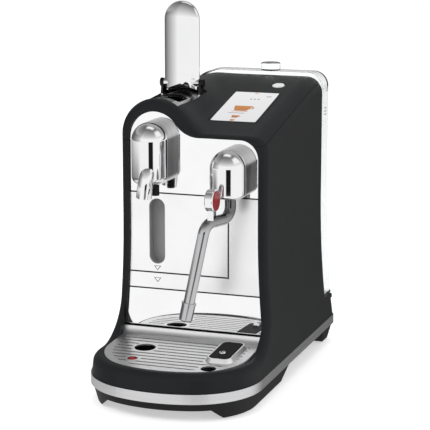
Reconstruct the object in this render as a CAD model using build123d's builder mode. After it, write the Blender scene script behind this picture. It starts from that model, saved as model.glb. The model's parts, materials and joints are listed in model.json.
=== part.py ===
from build123d import *
import os
from math import atan, cos, hypot, radians, sin, sqrt, tan

# Pod coffee machine with a milk steam wand, a lift-out drip tray and a lift-off water tank.
# Millimetres, +Z up, the front faces -Y, origin on the counter under the middle of the footprint.

# Fits and gaps
clearance = 0.3
reveal = 0.4
seat_gap = 0.15
pin_clearance = 0.05
edge_pick = 0.05

# Base and feet
base_width = 197.0
base_depth = 390.0
front_arc_radius = 140.0
corner_arc_radius = 80.0
rear_corner_radius = 12.0
foot_lift = 1.5
foot_inset = 7.5
skirt_inset = 2.0
band_bottom = 21.0
band_height = 11.0
band_thickness = 2.5
pan_wall = 6.0
pan_floor = 22.0
front_arch_inset = 40.5
front_arch_top = 16.0
side_arch_front_inset = 195.0
side_arch_rear_inset = 49.0
side_arch_top = 18.0
arch_slant = 0.9
pad_radius = 7.0
pad_height = 4.0
pad_side_inset = 22.5
pad_front_inset = 60.0
pad_rear_inset = 21.0
screw_radius = 2.0
screw_head_radius = 4.0
screw_head_height = 2.6
screw_inset = 47.4
screw_front_inset = 32.5
screw_rear_inset = 38.0

# Housing
housing_inset = 11.1
ridge_margin = 3.5767
tank_bay = 37.0
housing_wall = 3.5
front_wall = 10.5
rim_height = 21.0
rim_inset = 1.2
ridge_radius = 46.0
edge_radius = 9.0
flare_start = 190.0
hump_radius = 41.5
hump_top = 326.5
crest_step = 2.2
crest_slope = 0.058
crest_stand = 0.6
valley_radius = 23.0
shoulder_radius = 20.0
display_front_z = 291.3
display_slope = 12.87
level_run = 58.0
station_count = 4
seam_drop = 8.5
shelf_z = 58.0
shelf_wall = 4.0
shelf_inset = 5.0
rear_panel_thickness = 3.0

# Mirror front
bezel = 10.6
panel_recess = 3.0
panel_thickness = 3.0
panel_top = 288.3
panel_valley_radius = 34.0
panel_corner_radius = 21.0
upper_seam_z = 222.6
capsule_front_bottom = 130.8
lower_seam_z = 111.3
tray_seam_z = 67.2
column_width = 46.6
slot_width = 19.0
slot_height = 75.7
slot_offset = 1.7
slot_centre_z = 178.5
slot_depth = 10.0

# Heads
head_radius = 20.3
head_reach = 17.5
coffee_offset = 1.4
coffee_top = 306.5
coffee_bottom = 237.0
steam_inset = 39.9
steam_top = 280.5
steam_bottom = 227.0
head_edge = 1.5
stub_radius = 9.0
stub_length = 9.0
spout_radius = 8.8
spout_bore = 5.5
spout_reach = 35.5
spout_bend = 10.0
spout_depth = 14.0
spout_rise = 250.0
spout_bottom = 224.5
nozzle_radius = 4.5
nozzle_length = 12.0
nozzle_offset = 8.0
nozzle_reach = 21.5

# Steam wand
wand_offset = 4.5
wand_pivot_reach = 21.5
wand_pivot_z = 233.5
wand_eye_width = 13.0
wand_pin_radius = 2.5
wand_pin_length = 30.0
wand_radius = 6.3
wand_bend = 13.0
wand_slot_reach = 32.3
wand_slot_depth = 17.6
wand_drop_z = 205.5
wand_elbow_offset = (-11.0, -59.5, 205.0)
wand_foot_offset = (-32.9, -64.5, 96.0)
tip_length = 21.0
tip_radius = 7.6
tip_ring = 1.4
tip_edge = 2.0
tip_hole = 1.6
tab_offset = -6.0
tab_reach = 53.5
tab_z = 230.0
tab_radius = 12.5
tab_thickness = 10.0
tab_edge = 1.8
tab_stem = 7.0
tab_stem_depth = 9.0
tab_stem_low = 208.5
cap_thickness = 1.0

# Drip tray
tray_inset = 15.0
tray_lift = 16.0
grille_thickness = 1.6
grille_front_z = 52.0
grille_slope = 3.0
cove_depth = 12.5
grille_margin = 9.0
rib_pitch = 9.3
rib_count = 11
rib_slot = 2.6
drain_radius = 12.0
drain_offset = 5.9
drain_front = 85.0
float_hole_radius = 5.8
float_front = 47.5
float_radius = 4.2
float_foot_radius = 8.0
float_foot_height = 6.0
grip_radius = 8.5
grip_offset = 4.5
grip_front = 38.0
sensor_width = 23.5
sensor_depth = 56.0
sensor_inset = 32.1
sensor_front = 88.0
sensor_raise = 5.0
sensor_corner = 6.0
sensor_button_radius = 3.8
sensor_button_offset = 13.0
sensor_button_height = 7.0
sensor_button_stand = 2.4
sensor_edge = 1.2
sensor_travel = 2.0
hole_border = 3.5
collar_foot = 4.5
collar_lip = 1.4
collar_rise = 4.6
tray_wall = 2.0

# Capsule lever, deck and brew chamber
lever_width = 43.0
lever_thickness = 16.0
lever_top = 433.0
lever_gap = 0.6
lever_barrel_radius = 5.2
lever_setback = 91.5
lever_pin_radius = 2.5
lug_thickness = 2.6
lug_radius = 4.8
lug_spread = 8.0
lug_root = 8.5
pin_head = 2.0
deck_recess = 1.0
deck_thickness = 3.5
deck_setback = 9.5
deck_length = 98.0
pod_width = 38.0
pod_depth = 33.0
pod_setback = 44.5
pod_corner = 4.0
collar_wall = 2.0
collar_top = 317.0
brew_half = 25.0
brew_setback = 124.5
brew_top = 302.0
piston_z = 268.0
piston_radius = 15.5
piston_length = 42.0
piston_rest = 6.0
seal_width = 3.0
seal_depth = 1.6

# Display and power button
screen_width = 54.0
screen_length = 95.0
screen_inset = 56.4
screen_setback = 93.5
glass_border = 2.2
glass_thickness = 1.3
glass_proud = 0.2
module_depth = 4.5
module_ledge = 1.2
button_radius = 7.4
button_height = 6.5
button_stand = 1.0
button_inset = 38.9
button_setback = 166.0
button_boss = 3.0
button_edge = 1.0
button_travel = 1.2

# Water tank
tank_gap = 0.7
tank_rear_inset = 2.0
tank_wall = 2.6
tank_bottom = 60.0
tank_top = 320.0
tank_corner = 6.0
tank_side_inset = 0.6
lid_top = 339.0
lid_radius = 18.0
lid_wall = 3.0
lid_lip = 6.0
knob_x = 16.0
knob_radius = 12.0
knob_height = 9.5
knob_edge = 2.0
valve_x = 30.0
valve_radius = 7.2
valve_length = 8.0
socket_radius = 9.5
socket_height = 20.0

# Inside
frame_plate = 2.5
side_bay = 43.9
frame_rear_inset = 18.0
frame_deck_z = 226.0
shelf_plate_z = 127.0
shelf_plate_reach = 132.5
bin_wall = 2.0
bin_reach = 122.5
bin_right_inset = 49.4
bin_left_inset = 15.4
bin_top = 216.0
bin_front_wall = 13.0
bin_corner = 8.0
pump_inset = 23.4
pump_rear_inset = 62.0
pump_z = 46.0
pump_radius = 12.0
pump_length = 66.0
pump_block_width = 34.0
mount_width = 8.0
boiler_setback = 44.5
boiler_radius = 15.5
boiler_low = 92.0
boiler_high = 200.0
heater_width = 56.0
heater_depth = 58.0
heater_height = 34.0
heater_gap = 6.0
board_x = -20.0
board_width = 90.0
board_height = 108.0
board_z = 146.0
board_thickness = 1.6
board_standoff = 6.0
hose_radius = 3.2
hose_bend = 12.0
pump_hose_run = 17.0
pipe_radius = 2.6
pipe_bend = 7.0
steam_run = 16.0
gland_radius = 7.0
gland_inset = 21.4
gland_z = 43.0

# Worked out from the driving dimensions
base_top = band_bottom + band_height
rim_top = base_top + rim_height
base_front = -base_depth / 2
base_rear = base_depth / 2
housing_width = base_width - 2 * housing_inset
housing_rear = base_rear - tank_bay
half = housing_width / 2
inner_half = half - housing_wall
pod_x = hump_radius - half
arc_step = front_arc_radius - corner_arc_radius
arc_side = base_width / 2 - corner_arc_radius
corner_end = base_front + front_arc_radius - sqrt(arc_step**2 - arc_side**2)
ridge_start = corner_end + ridge_margin
housing_front = ridge_start + ridge_radius
pad_x = base_width / 2 - pad_side_inset
pad_front_y = base_front + pad_front_inset
pad_rear_y = base_rear - pad_rear_inset
screw_x = half - screw_inset
screw_front_y = housing_front + screw_front_inset
screw_rear_y = housing_rear - screw_rear_inset
front_arch_half = base_width / 2 - front_arch_inset
side_arch_front = base_front + side_arch_front_inset
side_arch_rear = base_rear - side_arch_rear_inset
slope_end = housing_rear - level_run
column_seam_x = half - column_width
slot_centre_x = pod_x + slot_offset
head_axis_y = housing_front - head_reach
coffee_x = pod_x + coffee_offset
steam_x = half - steam_inset
spout_axis_y = housing_front - spout_reach
nozzle_x = coffee_x + nozzle_offset
nozzle_y = housing_front - nozzle_reach
wand_x = steam_x + wand_offset
wand_pivot_y = housing_front - wand_pivot_reach
wand_slot_front = housing_front - wand_slot_reach
wand_slot_rear = wand_slot_front + wand_slot_depth
wand_elbow = (steam_x + wand_elbow_offset[0], housing_front + wand_elbow_offset[1], wand_elbow_offset[2])
wand_foot = (steam_x + wand_foot_offset[0], housing_front + wand_foot_offset[1], wand_foot_offset[2])
tab_x = steam_x + tab_offset
tab_y = housing_front - tab_reach
grille_crease_y = housing_front - cove_depth
drain_x = pod_x + drain_offset
drain_y = base_front + drain_front
float_x = drain_x
float_y = base_front + float_front
grip_x = steam_x + grip_offset
grip_y = base_front + grip_front
sensor_x = half - sensor_inset
sensor_y = base_front + sensor_front
sensor_button_y = sensor_y - sensor_button_offset
lever_pivot_y = housing_front + lever_setback
deck_front = housing_front + deck_setback
deck_rear = deck_front + deck_length
pod_y = housing_front + pod_setback
brew_rear = housing_front + brew_setback
screen_x = half - screen_inset
screen_y = housing_front + screen_setback
button_x = half - button_inset
button_y = housing_front + button_setback
frame_wall_x = half - side_bay
frame_rear = housing_rear - frame_rear_inset
shelf_plate_rear = housing_front + shelf_plate_reach
bin_rear = housing_front + bin_reach
bin_right = half - bin_right_inset
bin_left = bin_left_inset - half
pump_x = half - pump_inset
pump_y = housing_rear - pump_rear_inset
boiler_x = pump_x
boiler_y = housing_front + boiler_setback
pump_hose_y = pump_y - pump_length / 2 - pump_hose_run
gland_x = gland_inset - half
slope = tan(radians(display_slope))
flare_drop = flare_start - base_top
flare_out = base_width / 2 - rim_inset - half
flare_radius = (flare_drop**2 + flare_out**2) / (2 * flare_out)
panel_face = housing_front + panel_recess
panel_back = panel_face + panel_thickness
cavity_front = housing_front + front_wall
hump_centre_z = hump_top - hump_radius
frame_floor = pan_floor + frame_plate
rear_panel_low = shelf_z - shelf_wall
bin_bottom = capsule_front_bottom + 2 * clearance
deck_half = lever_width / 2 + 2 * reveal + lug_thickness
glass_width = screen_width + 2 * glass_border
glass_length = screen_length + 2 * glass_border
brew_floor = frame_deck_z + frame_plate
brew_front = panel_face + stub_length
tank_front = housing_rear + tank_gap
tank_rear = base_rear - tank_rear_inset
tank_mid_y = (tank_front + tank_rear) / 2
shelf_rear = base_rear - shelf_inset
grille_rear = housing_front - 2 * clearance

os.makedirs("parts", exist_ok=True)


def half_width(z, inset=0.0):
    """Half the housing's width at a height, on the arc by which its sides flare to the base."""
    drop = max(flare_start - z, 0.0)
    return half - inset + flare_radius - sqrt(flare_radius**2 - drop**2)


def grille_z(y):
    """Height of the grille's top face, which falls gently towards the front."""
    return grille_front_z + (y - base_front - tray_inset) * tan(radians(grille_slope))


def display_z(y):
    """Height of the display deck: a slope that levels out at the housing's rear."""
    run = min(y, slope_end) - housing_front
    ease = max(y - slope_end, 0.0)
    level = ease - ease**2 / (2 * (housing_rear - slope_end))
    return display_front_z + slope * (run + level)


def display_plane(x, y, lift=0.0):
    """Plane on the display deck at a point, with its normal out of the deck."""
    ease = max(y - slope_end, 0.0)
    grade = slope * (1 - ease / (housing_rear - slope_end))
    tilt = atan(grade)
    normal = (0, -sin(tilt), cos(tilt))
    origin = (x, y + lift * normal[1], display_z(y) + lift * normal[2])
    return Plane(origin=origin, x_dir=(1, 0, 0), z_dir=normal)


def plan_outline(inset):
    """Footprint of the base seen from above, moved in by an inset."""
    side = base_width / 2 - inset
    front = base_front + inset
    rear = base_rear - inset
    big = front_arc_radius - inset
    small = corner_arc_radius - inset
    tail = max(rear_corner_radius - inset, 1.0)
    centre_x = side - small
    drop = sqrt((big - small) ** 2 - centre_x**2)
    unit = (centre_x / (big - small), -drop / (big - small))
    small_y = front + big - drop
    meet = (big * unit[0], front + big + big * unit[1])
    bend = hypot(1 + unit[0], unit[1])
    middle = (centre_x + small * (1 + unit[0]) / bend, small_y + small * unit[1] / bend)
    with BuildSketch() as outline:
        with BuildLine():
            Line((0, rear), (side - tail, rear))
            RadiusArc((side - tail, rear), (side, rear - tail), tail)
            Line((side, rear - tail), (side, small_y))
            ThreePointArc((side, small_y), middle, meet)
            ThreePointArc(meet, (0, front), (-meet[0], meet[1]))
            ThreePointArc((-meet[0], meet[1]), (-middle[0], middle[1]), (-side, small_y))
            Line((-side, small_y), (-side, rear - tail))
            RadiusArc((-side, rear - tail), (tail - side, rear), tail)
            Line((tail - side, rear), (0, rear))
        make_face()
    return outline.sketch


def flared_outline(low, high, inset):
    """Front view between two heights with the flared sides, for what follows the housing's sides."""
    middle = (low + min(high, flare_start)) / 2
    bend = min(high, flare_start)
    with BuildSketch() as outline:
        with BuildLine():
            Line((-half_width(low, inset), low), (half_width(low, inset), low))
            ThreePointArc(
                (half_width(low, inset), low),
                (half_width(middle, inset), middle),
                (half_width(bend, inset), bend),
            )
            if high > bend:
                Line((half - inset, bend), (half - inset, high))
                Line((inset - half, high), (inset - half, bend))
            Line((half_width(high, inset), high), (-half_width(high, inset), high))
            ThreePointArc(
                (-half_width(bend, inset), bend),
                (-half_width(middle, inset), middle),
                (-half_width(low, inset), low),
            )
        make_face()
    return outline.sketch


def crest_z(y):
    """Height of the hump's crest, which climbs from the front and then runs level to the rear."""
    climb = hump_top + crest_step + crest_slope * (y - housing_front)
    return min(climb, display_z(housing_rear) + crest_stand)


def top_section(y, inset):
    """Section of the top at a station: hump on the left, valley, display deck and right shoulder."""
    deck = display_z(y) - inset
    crown = crest_z(y) - inset
    radius = hump_radius - inset
    valley = valley_radius + inset
    side = half - inset
    corner = shoulder_radius - inset
    centre_z = crown - radius
    reach = radius + valley
    rise = deck + valley - centre_z
    run = sqrt(max(reach**2 - rise**2, (0.72 * hump_radius) ** 2))
    knee_z = min(centre_z + rise * radius / reach, crown - 0.2)
    if rise > reach:
        knee_z = (crown + deck) / 2
    knee = (pod_x + run * radius / reach, knee_z)
    with BuildSketch() as outline:
        with BuildLine():
            Line((-side, flare_start), (-side, centre_z))
            RadiusArc((-side, centre_z), (pod_x, crown), radius)
            Spline((pod_x, crown), knee, (pod_x + run, deck), tangents=((1, 0), (1, 0)))
            Line((pod_x + run, deck), (side - corner, deck))
            RadiusArc((side - corner, deck), (side, deck - corner), corner)
            Line((side, deck - corner), (side, flare_start))
            Line((side, flare_start), (-side, flare_start))
        make_face()
    return outline.sketch


def tank_outline(low, inset):
    """Rear view of tank and lid together: flared sides, the hump's shoulder and a corner."""
    side = half - inset
    top = lid_top + tank_side_inset - inset
    corner = lid_radius + tank_side_inset - inset
    shoulder = hump_radius - inset
    middle = (low + flare_start) / 2
    with BuildSketch() as outline:
        with BuildLine():
            Line((-half_width(low, inset), low), (half_width(low, inset), low))
            ThreePointArc(
                (half_width(low, inset), low),
                (half_width(middle, inset), middle),
                (side, flare_start),
            )
            Line((side, flare_start), (side, top - corner))
            RadiusArc((side, top - corner), (side - corner, top), -corner)
            Line((side - corner, top), (shoulder - side, top))
            RadiusArc((shoulder - side, top), (-side, top - shoulder), -shoulder)
            Line((-side, top - shoulder), (-side, flare_start))
            ThreePointArc(
                (-side, flare_start),
                (-half_width(middle, inset), middle),
                (-half_width(low, inset), low),
            )
        make_face()
    return outline.sketch


def panel_outline(inset):
    """Outline of the whole mirror front, in front view, moved in by an inset."""
    side = half - bezel - inset
    radius = hump_radius - bezel - inset
    valley = panel_valley_radius + inset
    corner = panel_corner_radius - inset
    top = panel_top - inset
    low = tray_seam_z + inset
    middle = (low + flare_start) / 2
    rise = top + valley - hump_centre_z
    run = sqrt((radius + valley) ** 2 - rise**2)
    share = radius / (radius + valley)
    meet = (pod_x + run * share, hump_centre_z + rise * share)
    low_side = half_width(low, bezel + inset)
    mid_side = half_width(middle, bezel + inset)
    with BuildSketch() as outline:
        with BuildLine():
            Line((-side, flare_start), (-side, hump_centre_z))
            RadiusArc((-side, hump_centre_z), (pod_x, hump_centre_z + radius), radius)
            RadiusArc((pod_x, hump_centre_z + radius), meet, radius)
            RadiusArc(meet, (pod_x + run, top), -valley)
            Line((pod_x + run, top), (side - corner, top))
            RadiusArc((side - corner, top), (side, top - corner), corner)
            Line((side, top - corner), (side, flare_start))
            ThreePointArc((side, flare_start), (mid_side, middle), (low_side, low))
            Line((low_side, low), (-low_side, low))
            ThreePointArc((-low_side, low), (-mid_side, middle), (-side, flare_start))
        make_face()
    return outline.sketch


def stub_height(bottom, top):
    """Height of the stub behind a head, by which the head is fed."""
    return (bottom + top - head_radius) / 2 + head_radius / 2


def head_blank(x, bottom, top):
    """A head that stands out of the front: an upright half cylinder under a dome, run back to it."""
    dome_z = top - head_radius
    with BuildPart() as blank:
        with BuildSketch(Plane.XZ.offset(-panel_face)):
            with Locations((x, (bottom + dome_z) / 2)):
                Rectangle(2 * head_radius, dome_z - bottom)
            with Locations((x, dome_z)):
                Circle(head_radius)
        extrude(amount=panel_face - head_axis_y)
        with Locations((x, head_axis_y, (bottom + dome_z) / 2)):
            Cylinder(head_radius, dome_z - bottom)
        with Locations((x, head_axis_y, dome_z)):
            Sphere(head_radius)
        under = blank.faces().sort_by(Axis.Z)[0].edges()
        fillet(under.filter_by(lambda edge: edge.center().Y < panel_face - edge_pick), head_edge)
        with Locations(Plane.XZ.offset(-panel_face)):
            with Locations((x, stub_height(bottom, top), -stub_length / 2)):
                Cylinder(stub_radius, stub_length)
    return blank.part


def above_seam(drop):
    """Everything above the seam between the top cover and the housing, lowered by a drop."""
    with BuildPart() as region:
        with BuildSketch(Plane.YZ):
            with BuildLine():
                mid = (slope_end + housing_rear) / 2
                ahead = housing_front - edge_radius
                Line((ahead, display_z(ahead) - drop), (slope_end, display_z(slope_end) - drop))
                ThreePointArc(
                    (slope_end, display_z(slope_end) - drop),
                    (mid, display_z(mid) - drop),
                    (housing_rear, display_z(housing_rear) - drop),
                )
                Line((housing_rear, display_z(housing_rear) - drop), (housing_rear, hump_top * 2))
                Line((housing_rear, hump_top * 2), (ahead, hump_top * 2))
                Line((ahead, hump_top * 2), (ahead, display_z(ahead) - drop))
            make_face()
        extrude(amount=base_width, both=True)
    return region.part


def save(piece, name):
    """Label a finished piece and write it as one file."""
    piece.part.label = name
    export_step(piece.part, f"parts/{name}.step")


# Base pan with its four corner feet
with BuildPart() as base:
    with BuildSketch(Plane.XY.offset(foot_lift)):
        add(plan_outline(foot_inset))
    with BuildSketch(Plane.XY.offset(band_bottom)):
        add(plan_outline(skirt_inset))
    loft(ruled=True)
    with BuildSketch(Plane.XY.offset(band_bottom)):
        add(plan_outline(band_thickness + seat_gap))
    extrude(amount=band_height)
    with BuildSketch(Plane.XZ):
        with BuildLine():
            Polyline(
                (-front_arch_half, front_arch_top),
                (front_arch_half, front_arch_top),
                (front_arch_half + front_arch_top * arch_slant, 0),
                (-front_arch_half - front_arch_top * arch_slant, 0),
                close=True,
            )
        make_face()
    extrude(amount=base_depth, both=True, mode=Mode.SUBTRACT)
    with BuildSketch(Plane.YZ):
        with BuildLine():
            Polyline(
                (side_arch_front, side_arch_top),
                (side_arch_rear, side_arch_top),
                (side_arch_rear + side_arch_top * arch_slant, 0),
                (side_arch_front - side_arch_top * arch_slant, 0),
                close=True,
            )
        make_face()
    extrude(amount=base_width, both=True, mode=Mode.SUBTRACT)
    with BuildSketch(Plane.XY.offset(pan_floor)):
        add(plan_outline(band_thickness + seat_gap + pan_wall))
    extrude(amount=band_height, mode=Mode.SUBTRACT)
    foot_places = [(x, y) for x in (-pad_x, pad_x) for y in (pad_front_y, pad_rear_y)]
    with BuildSketch(Plane.XY):
        with Locations(foot_places):
            Circle(pad_radius + pin_clearance)
    extrude(amount=pad_height, mode=Mode.SUBTRACT)
    screw_places = [(x, y) for x in (-screw_x, screw_x) for y in (screw_front_y, screw_rear_y)]
    with BuildSketch(Plane.XY):
        with Locations(screw_places):
            Circle(screw_head_radius + pin_clearance)
    extrude(amount=side_arch_top + screw_head_height, mode=Mode.SUBTRACT)
    with BuildSketch(Plane.XY):
        with Locations(screw_places):
            Circle(screw_radius + pin_clearance)
    extrude(amount=base_top, mode=Mode.SUBTRACT)
save(base, "base")

with BuildPart() as foot_pads:
    with BuildSketch(Plane.XY):
        with Locations(foot_places):
            Circle(pad_radius)
    extrude(amount=pad_height)
save(foot_pads, "foot_pads")

with BuildPart() as trim_band:
    with BuildSketch(Plane.XY.offset(band_bottom)):
        add(plan_outline(0))
        add(plan_outline(band_thickness), mode=Mode.SUBTRACT)
    extrude(amount=band_height)
save(trim_band, "trim_band")

# Housing and top cover come from one moulded form that is split along the seam
with BuildPart() as lower_form:
    with BuildSketch(Plane.XY.offset(base_top)):
        add(plan_outline(rim_inset))
    with BuildSketch(Plane.XY.offset(rim_top)):
        add(plan_outline(base_width / 2 - half_width(rim_top)))
    loft(ruled=True)

with BuildPart() as upright_form:
    with BuildSketch(Plane.YZ):
        with BuildLine():
            Line((ridge_start, rim_top), (shelf_rear, rim_top))
            Line((shelf_rear, rim_top), (shelf_rear, flare_start))
            Line((shelf_rear, flare_start), (housing_front, flare_start))
            Line((housing_front, flare_start), (housing_front, rim_top + ridge_radius))
            RadiusArc((housing_front, rim_top + ridge_radius), (ridge_start, rim_top), ridge_radius)
        make_face()
    extrude(amount=base_width, both=True)
    with BuildSketch(Plane.XZ.offset(-base_rear)):
        add(flared_outline(rim_top, flare_start, 0))
    extrude(amount=base_depth, mode=Mode.INTERSECT)

with BuildPart() as body_form:
    add(lower_form.part)
    add(upright_form.part)
    rim_edges = body_form.edges().filter_by(
        lambda edge: abs(edge.center().Z - rim_top) < edge_pick
        and edge.bounding_box().max.Y < ridge_start + edge_pick
        and edge.bounding_box().size.X < 2 * front_arc_radius
        and not (edge.bounding_box().size.Y < edge_pick and edge.center().Y > ridge_start - edge_pick)
    )
    ridge_edges = body_form.edges().filter_by(
        lambda edge: edge.bounding_box().min.Z > rim_top - edge_pick
        and edge.bounding_box().max.Z > rim_top + edge_pick
        and edge.bounding_box().max.Y < housing_front + edge_pick
        and abs(edge.center().X) > half - edge_pick
    )
    fillet(rim_edges + ridge_edges, edge_radius)
    with BuildSketch(Plane.XY.offset(base_top)):
        add(plan_outline(rim_inset))
    extrude(amount=flare_start - base_top, mode=Mode.INTERSECT)
    with BuildSketch(Plane.XY.offset(shelf_z)):
        with Locations((0, housing_rear + base_rear)):
            Rectangle(2 * base_width, 2 * base_rear)
    extrude(amount=flare_start, mode=Mode.SUBTRACT)

station_gap = (slope_end - housing_front) / station_count
stations = [housing_front + station_gap * step for step in range(station_count + 1)]
stations += [(slope_end + housing_rear) / 2, housing_rear]
with BuildPart() as top_form:
    for station in stations:
        with BuildSketch(Plane.XZ.offset(-station)):
            add(top_section(station, 0))
    loft()
    front_edges = top_form.edges().filter_by(
        lambda edge: edge.bounding_box().max.Y < housing_front + edge_pick
        and edge.bounding_box().max.Z > flare_start + edge_pick
    )
    fillet(front_edges, edge_radius)

with BuildPart() as top_hollow:
    for station in [cavity_front] + stations[1:]:
        with BuildSketch(Plane.XZ.offset(-station)):
            add(top_section(station, housing_wall))
    loft()

with BuildPart() as moulding:
    add(body_form.part)
    add(top_form.part)
    add(top_hollow.part, mode=Mode.SUBTRACT)
    with BuildSketch(Plane.XY.offset(base_top)):
        with Locations((0, (cavity_front + housing_rear) / 2)):
            Rectangle(2 * inner_half, housing_rear - cavity_front)
    extrude(amount=flare_start - base_top, mode=Mode.SUBTRACT)
    with BuildSketch(Plane.XY.offset(base_top)):
        with Locations((0, (housing_rear + shelf_rear) / 2)):
            Rectangle(2 * inner_half, shelf_rear - housing_rear - 2 * shelf_wall)
    extrude(amount=shelf_z - shelf_wall - base_top, mode=Mode.SUBTRACT)
    with BuildSketch(Plane.XY.offset(base_top)):
        add(plan_outline(tray_inset))
        with Locations((0, panel_back + base_depth)):
            Rectangle(2 * base_depth, 2 * base_depth, mode=Mode.SUBTRACT)
    extrude(amount=tray_seam_z - base_top, mode=Mode.SUBTRACT)
    with BuildSketch(Plane.XY.offset(rim_top - edge_radius)):
        add(plan_outline(tray_inset))
        with Locations((0, housing_front + base_depth)):
            Rectangle(2 * base_depth, 2 * base_depth, mode=Mode.SUBTRACT)
    extrude(amount=flare_start, mode=Mode.SUBTRACT)
    with BuildSketch(Plane.XZ.offset(-cavity_front)):
        add(panel_outline(0))
    extrude(amount=front_wall + edge_radius, mode=Mode.SUBTRACT)

with BuildPart() as housing:
    add(moulding.part)
    add(above_seam(seam_drop + reveal), mode=Mode.SUBTRACT)
    with BuildSketch(Plane.XY.offset(shelf_z)):
        with Locations((valve_x, tank_mid_y)):
            Circle(socket_radius + pin_clearance)
    extrude(amount=-shelf_wall, mode=Mode.SUBTRACT)
    with BuildSketch(Plane.XZ.offset(-housing_rear)):
        with Locations((valve_x, pump_z)):
            Circle(hose_radius + clearance)
    extrude(amount=-shelf_wall, mode=Mode.SUBTRACT)
    with BuildSketch(Plane.XZ.offset(-base_rear)):
        with Locations((gland_x, gland_z)):
            Circle(gland_radius + pin_clearance)
    extrude(amount=base_rear - shelf_rear + shelf_wall, mode=Mode.SUBTRACT)
save(housing, "housing")

with BuildPart() as top_cover:
    add(moulding.part)
    add(above_seam(seam_drop), mode=Mode.INTERSECT)
    with BuildSketch(display_plane(button_x, button_y)):
        Circle(button_radius + button_boss)
    extrude(amount=-button_height - button_boss)
    with BuildSketch(Plane.XY.offset(hump_centre_z)):
        with Locations((pod_x, (deck_front + deck_rear) / 2)):
            Rectangle(2 * (deck_half + clearance), deck_rear - deck_front + 2 * clearance)
    extrude(amount=2 * hump_radius, mode=Mode.SUBTRACT)
    with BuildSketch(display_plane(screen_x, screen_y, 2 * glass_thickness)):
        Rectangle(glass_width + 2 * clearance, glass_length + 2 * clearance)
    extrude(amount=glass_proud - 3 * glass_thickness, mode=Mode.SUBTRACT)
    with BuildSketch(display_plane(screen_x, screen_y)):
        Rectangle(glass_width - 2 * module_ledge, glass_length - 2 * module_ledge)
    extrude(amount=-3 * housing_wall, mode=Mode.SUBTRACT)
    with BuildSketch(display_plane(button_x, button_y, button_stand)):
        Circle(button_radius + clearance)
    extrude(amount=-button_height - button_travel - clearance, mode=Mode.SUBTRACT)
save(top_cover, "top_cover")

with BuildPart() as rear_panel:
    with BuildSketch(Plane.XZ.offset(-housing_rear)):
        add(top_section(housing_rear, housing_wall + clearance))
        with Locations((0, (rear_panel_low + flare_start) / 2)):
            Rectangle(2 * (inner_half - clearance), flare_start - rear_panel_low)
    extrude(amount=rear_panel_thickness)
save(rear_panel, "rear_panel")

with BuildPart() as cord_gland:
    with BuildSketch(Plane.XZ.offset(-base_rear)):
        with Locations((gland_x, gland_z)):
            Circle(gland_radius)
            Circle(gland_radius / 2, mode=Mode.SUBTRACT)
    extrude(amount=base_rear - shelf_rear + 1.5 * shelf_wall)
save(cord_gland, "cord_gland")


# Mirror front: four flat pieces cut from one outline along the seams
def band_between(low, high, left=-base_width, right=base_width):
    """Flat rectangle in front view between two heights and two sides."""
    with BuildSketch() as area:
        with Locations(((left + right) / 2, (low + high) / 2)):
            Rectangle(right - left, high - low)
    return area.sketch


def front_piece(keep):
    """A piece of the mirror front, kept where the given face covers it."""
    with BuildPart() as piece:
        with BuildSketch(Plane.XZ.offset(-panel_back)):
            add(panel_outline(clearance))
            add(keep, mode=Mode.INTERSECT)
        extrude(amount=panel_thickness)
    return piece.part


with BuildPart() as upper_panel:
    add(front_piece(band_between(upper_seam_z + reveal, 2 * hump_top)))
    with BuildSketch(Plane.XZ.offset(-panel_back)):
        with Locations((coffee_x, stub_height(coffee_bottom, coffee_top))):
            Circle(stub_radius + clearance)
        with Locations((steam_x, stub_height(steam_bottom, steam_top))):
            Circle(stub_radius + clearance)
    extrude(amount=panel_thickness, mode=Mode.SUBTRACT)
save(upper_panel, "upper_panel")

with BuildPart() as frame_panel:
    add(front_piece(band_between(lower_seam_z + reveal, upper_seam_z - reveal)))
    with BuildSketch(Plane.XZ.offset(-panel_back)):
        add(band_between(capsule_front_bottom - reveal, hump_top, -base_width, column_seam_x + reveal))
    extrude(amount=panel_thickness, mode=Mode.SUBTRACT)
save(frame_panel, "frame_panel")

with BuildPart() as lower_panel:
    add(front_piece(band_between(tray_seam_z + reveal, lower_seam_z - reveal)))
save(lower_panel, "lower_panel")

with BuildPart() as capsule_front:
    low = capsule_front_bottom + reveal
    high = upper_seam_z - reveal
    add(front_piece(band_between(low, high, -base_width, column_seam_x - reveal)))
    with BuildSketch(Plane.XZ.offset(-panel_back)):
        with Locations((slot_centre_x, slot_centre_z)):
            SlotOverall(slot_height, slot_width, rotation=90)
    extrude(amount=panel_thickness, mode=Mode.SUBTRACT)
save(capsule_front, "capsule_front")

# Bin for used capsules, which slides out behind the capsule front
with BuildPart() as capsule_bin:
    bin_front = panel_back + bin_front_wall
    bin_width = bin_right - bin_left
    bin_x = (bin_left + bin_right) / 2
    with BuildSketch(Plane.XY.offset(bin_bottom)):
        with Locations((bin_x, (panel_back + bin_rear) / 2)):
            Rectangle(bin_width, bin_rear - panel_back)
    extrude(amount=bin_top - bin_bottom)
    fillet(capsule_bin.edges().filter_by(Axis.Z).sort_by(Axis.Y)[-2:], bin_corner)
    with BuildSketch(Plane.XY.offset(bin_bottom + bin_wall)):
        with Locations((bin_x, (bin_front + bin_rear - bin_wall) / 2)):
            RectangleRounded(
                bin_width - 2 * bin_wall, bin_rear - bin_wall - bin_front, bin_corner - bin_wall
            )
    extrude(amount=bin_top, mode=Mode.SUBTRACT)
    with BuildSketch(Plane.XZ.offset(-panel_back)):
        with Locations((slot_centre_x, slot_centre_z)):
            SlotOverall(slot_height, slot_width, rotation=90)
    extrude(amount=-slot_depth, mode=Mode.SUBTRACT)
save(capsule_bin, "capsule_bin")


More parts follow.
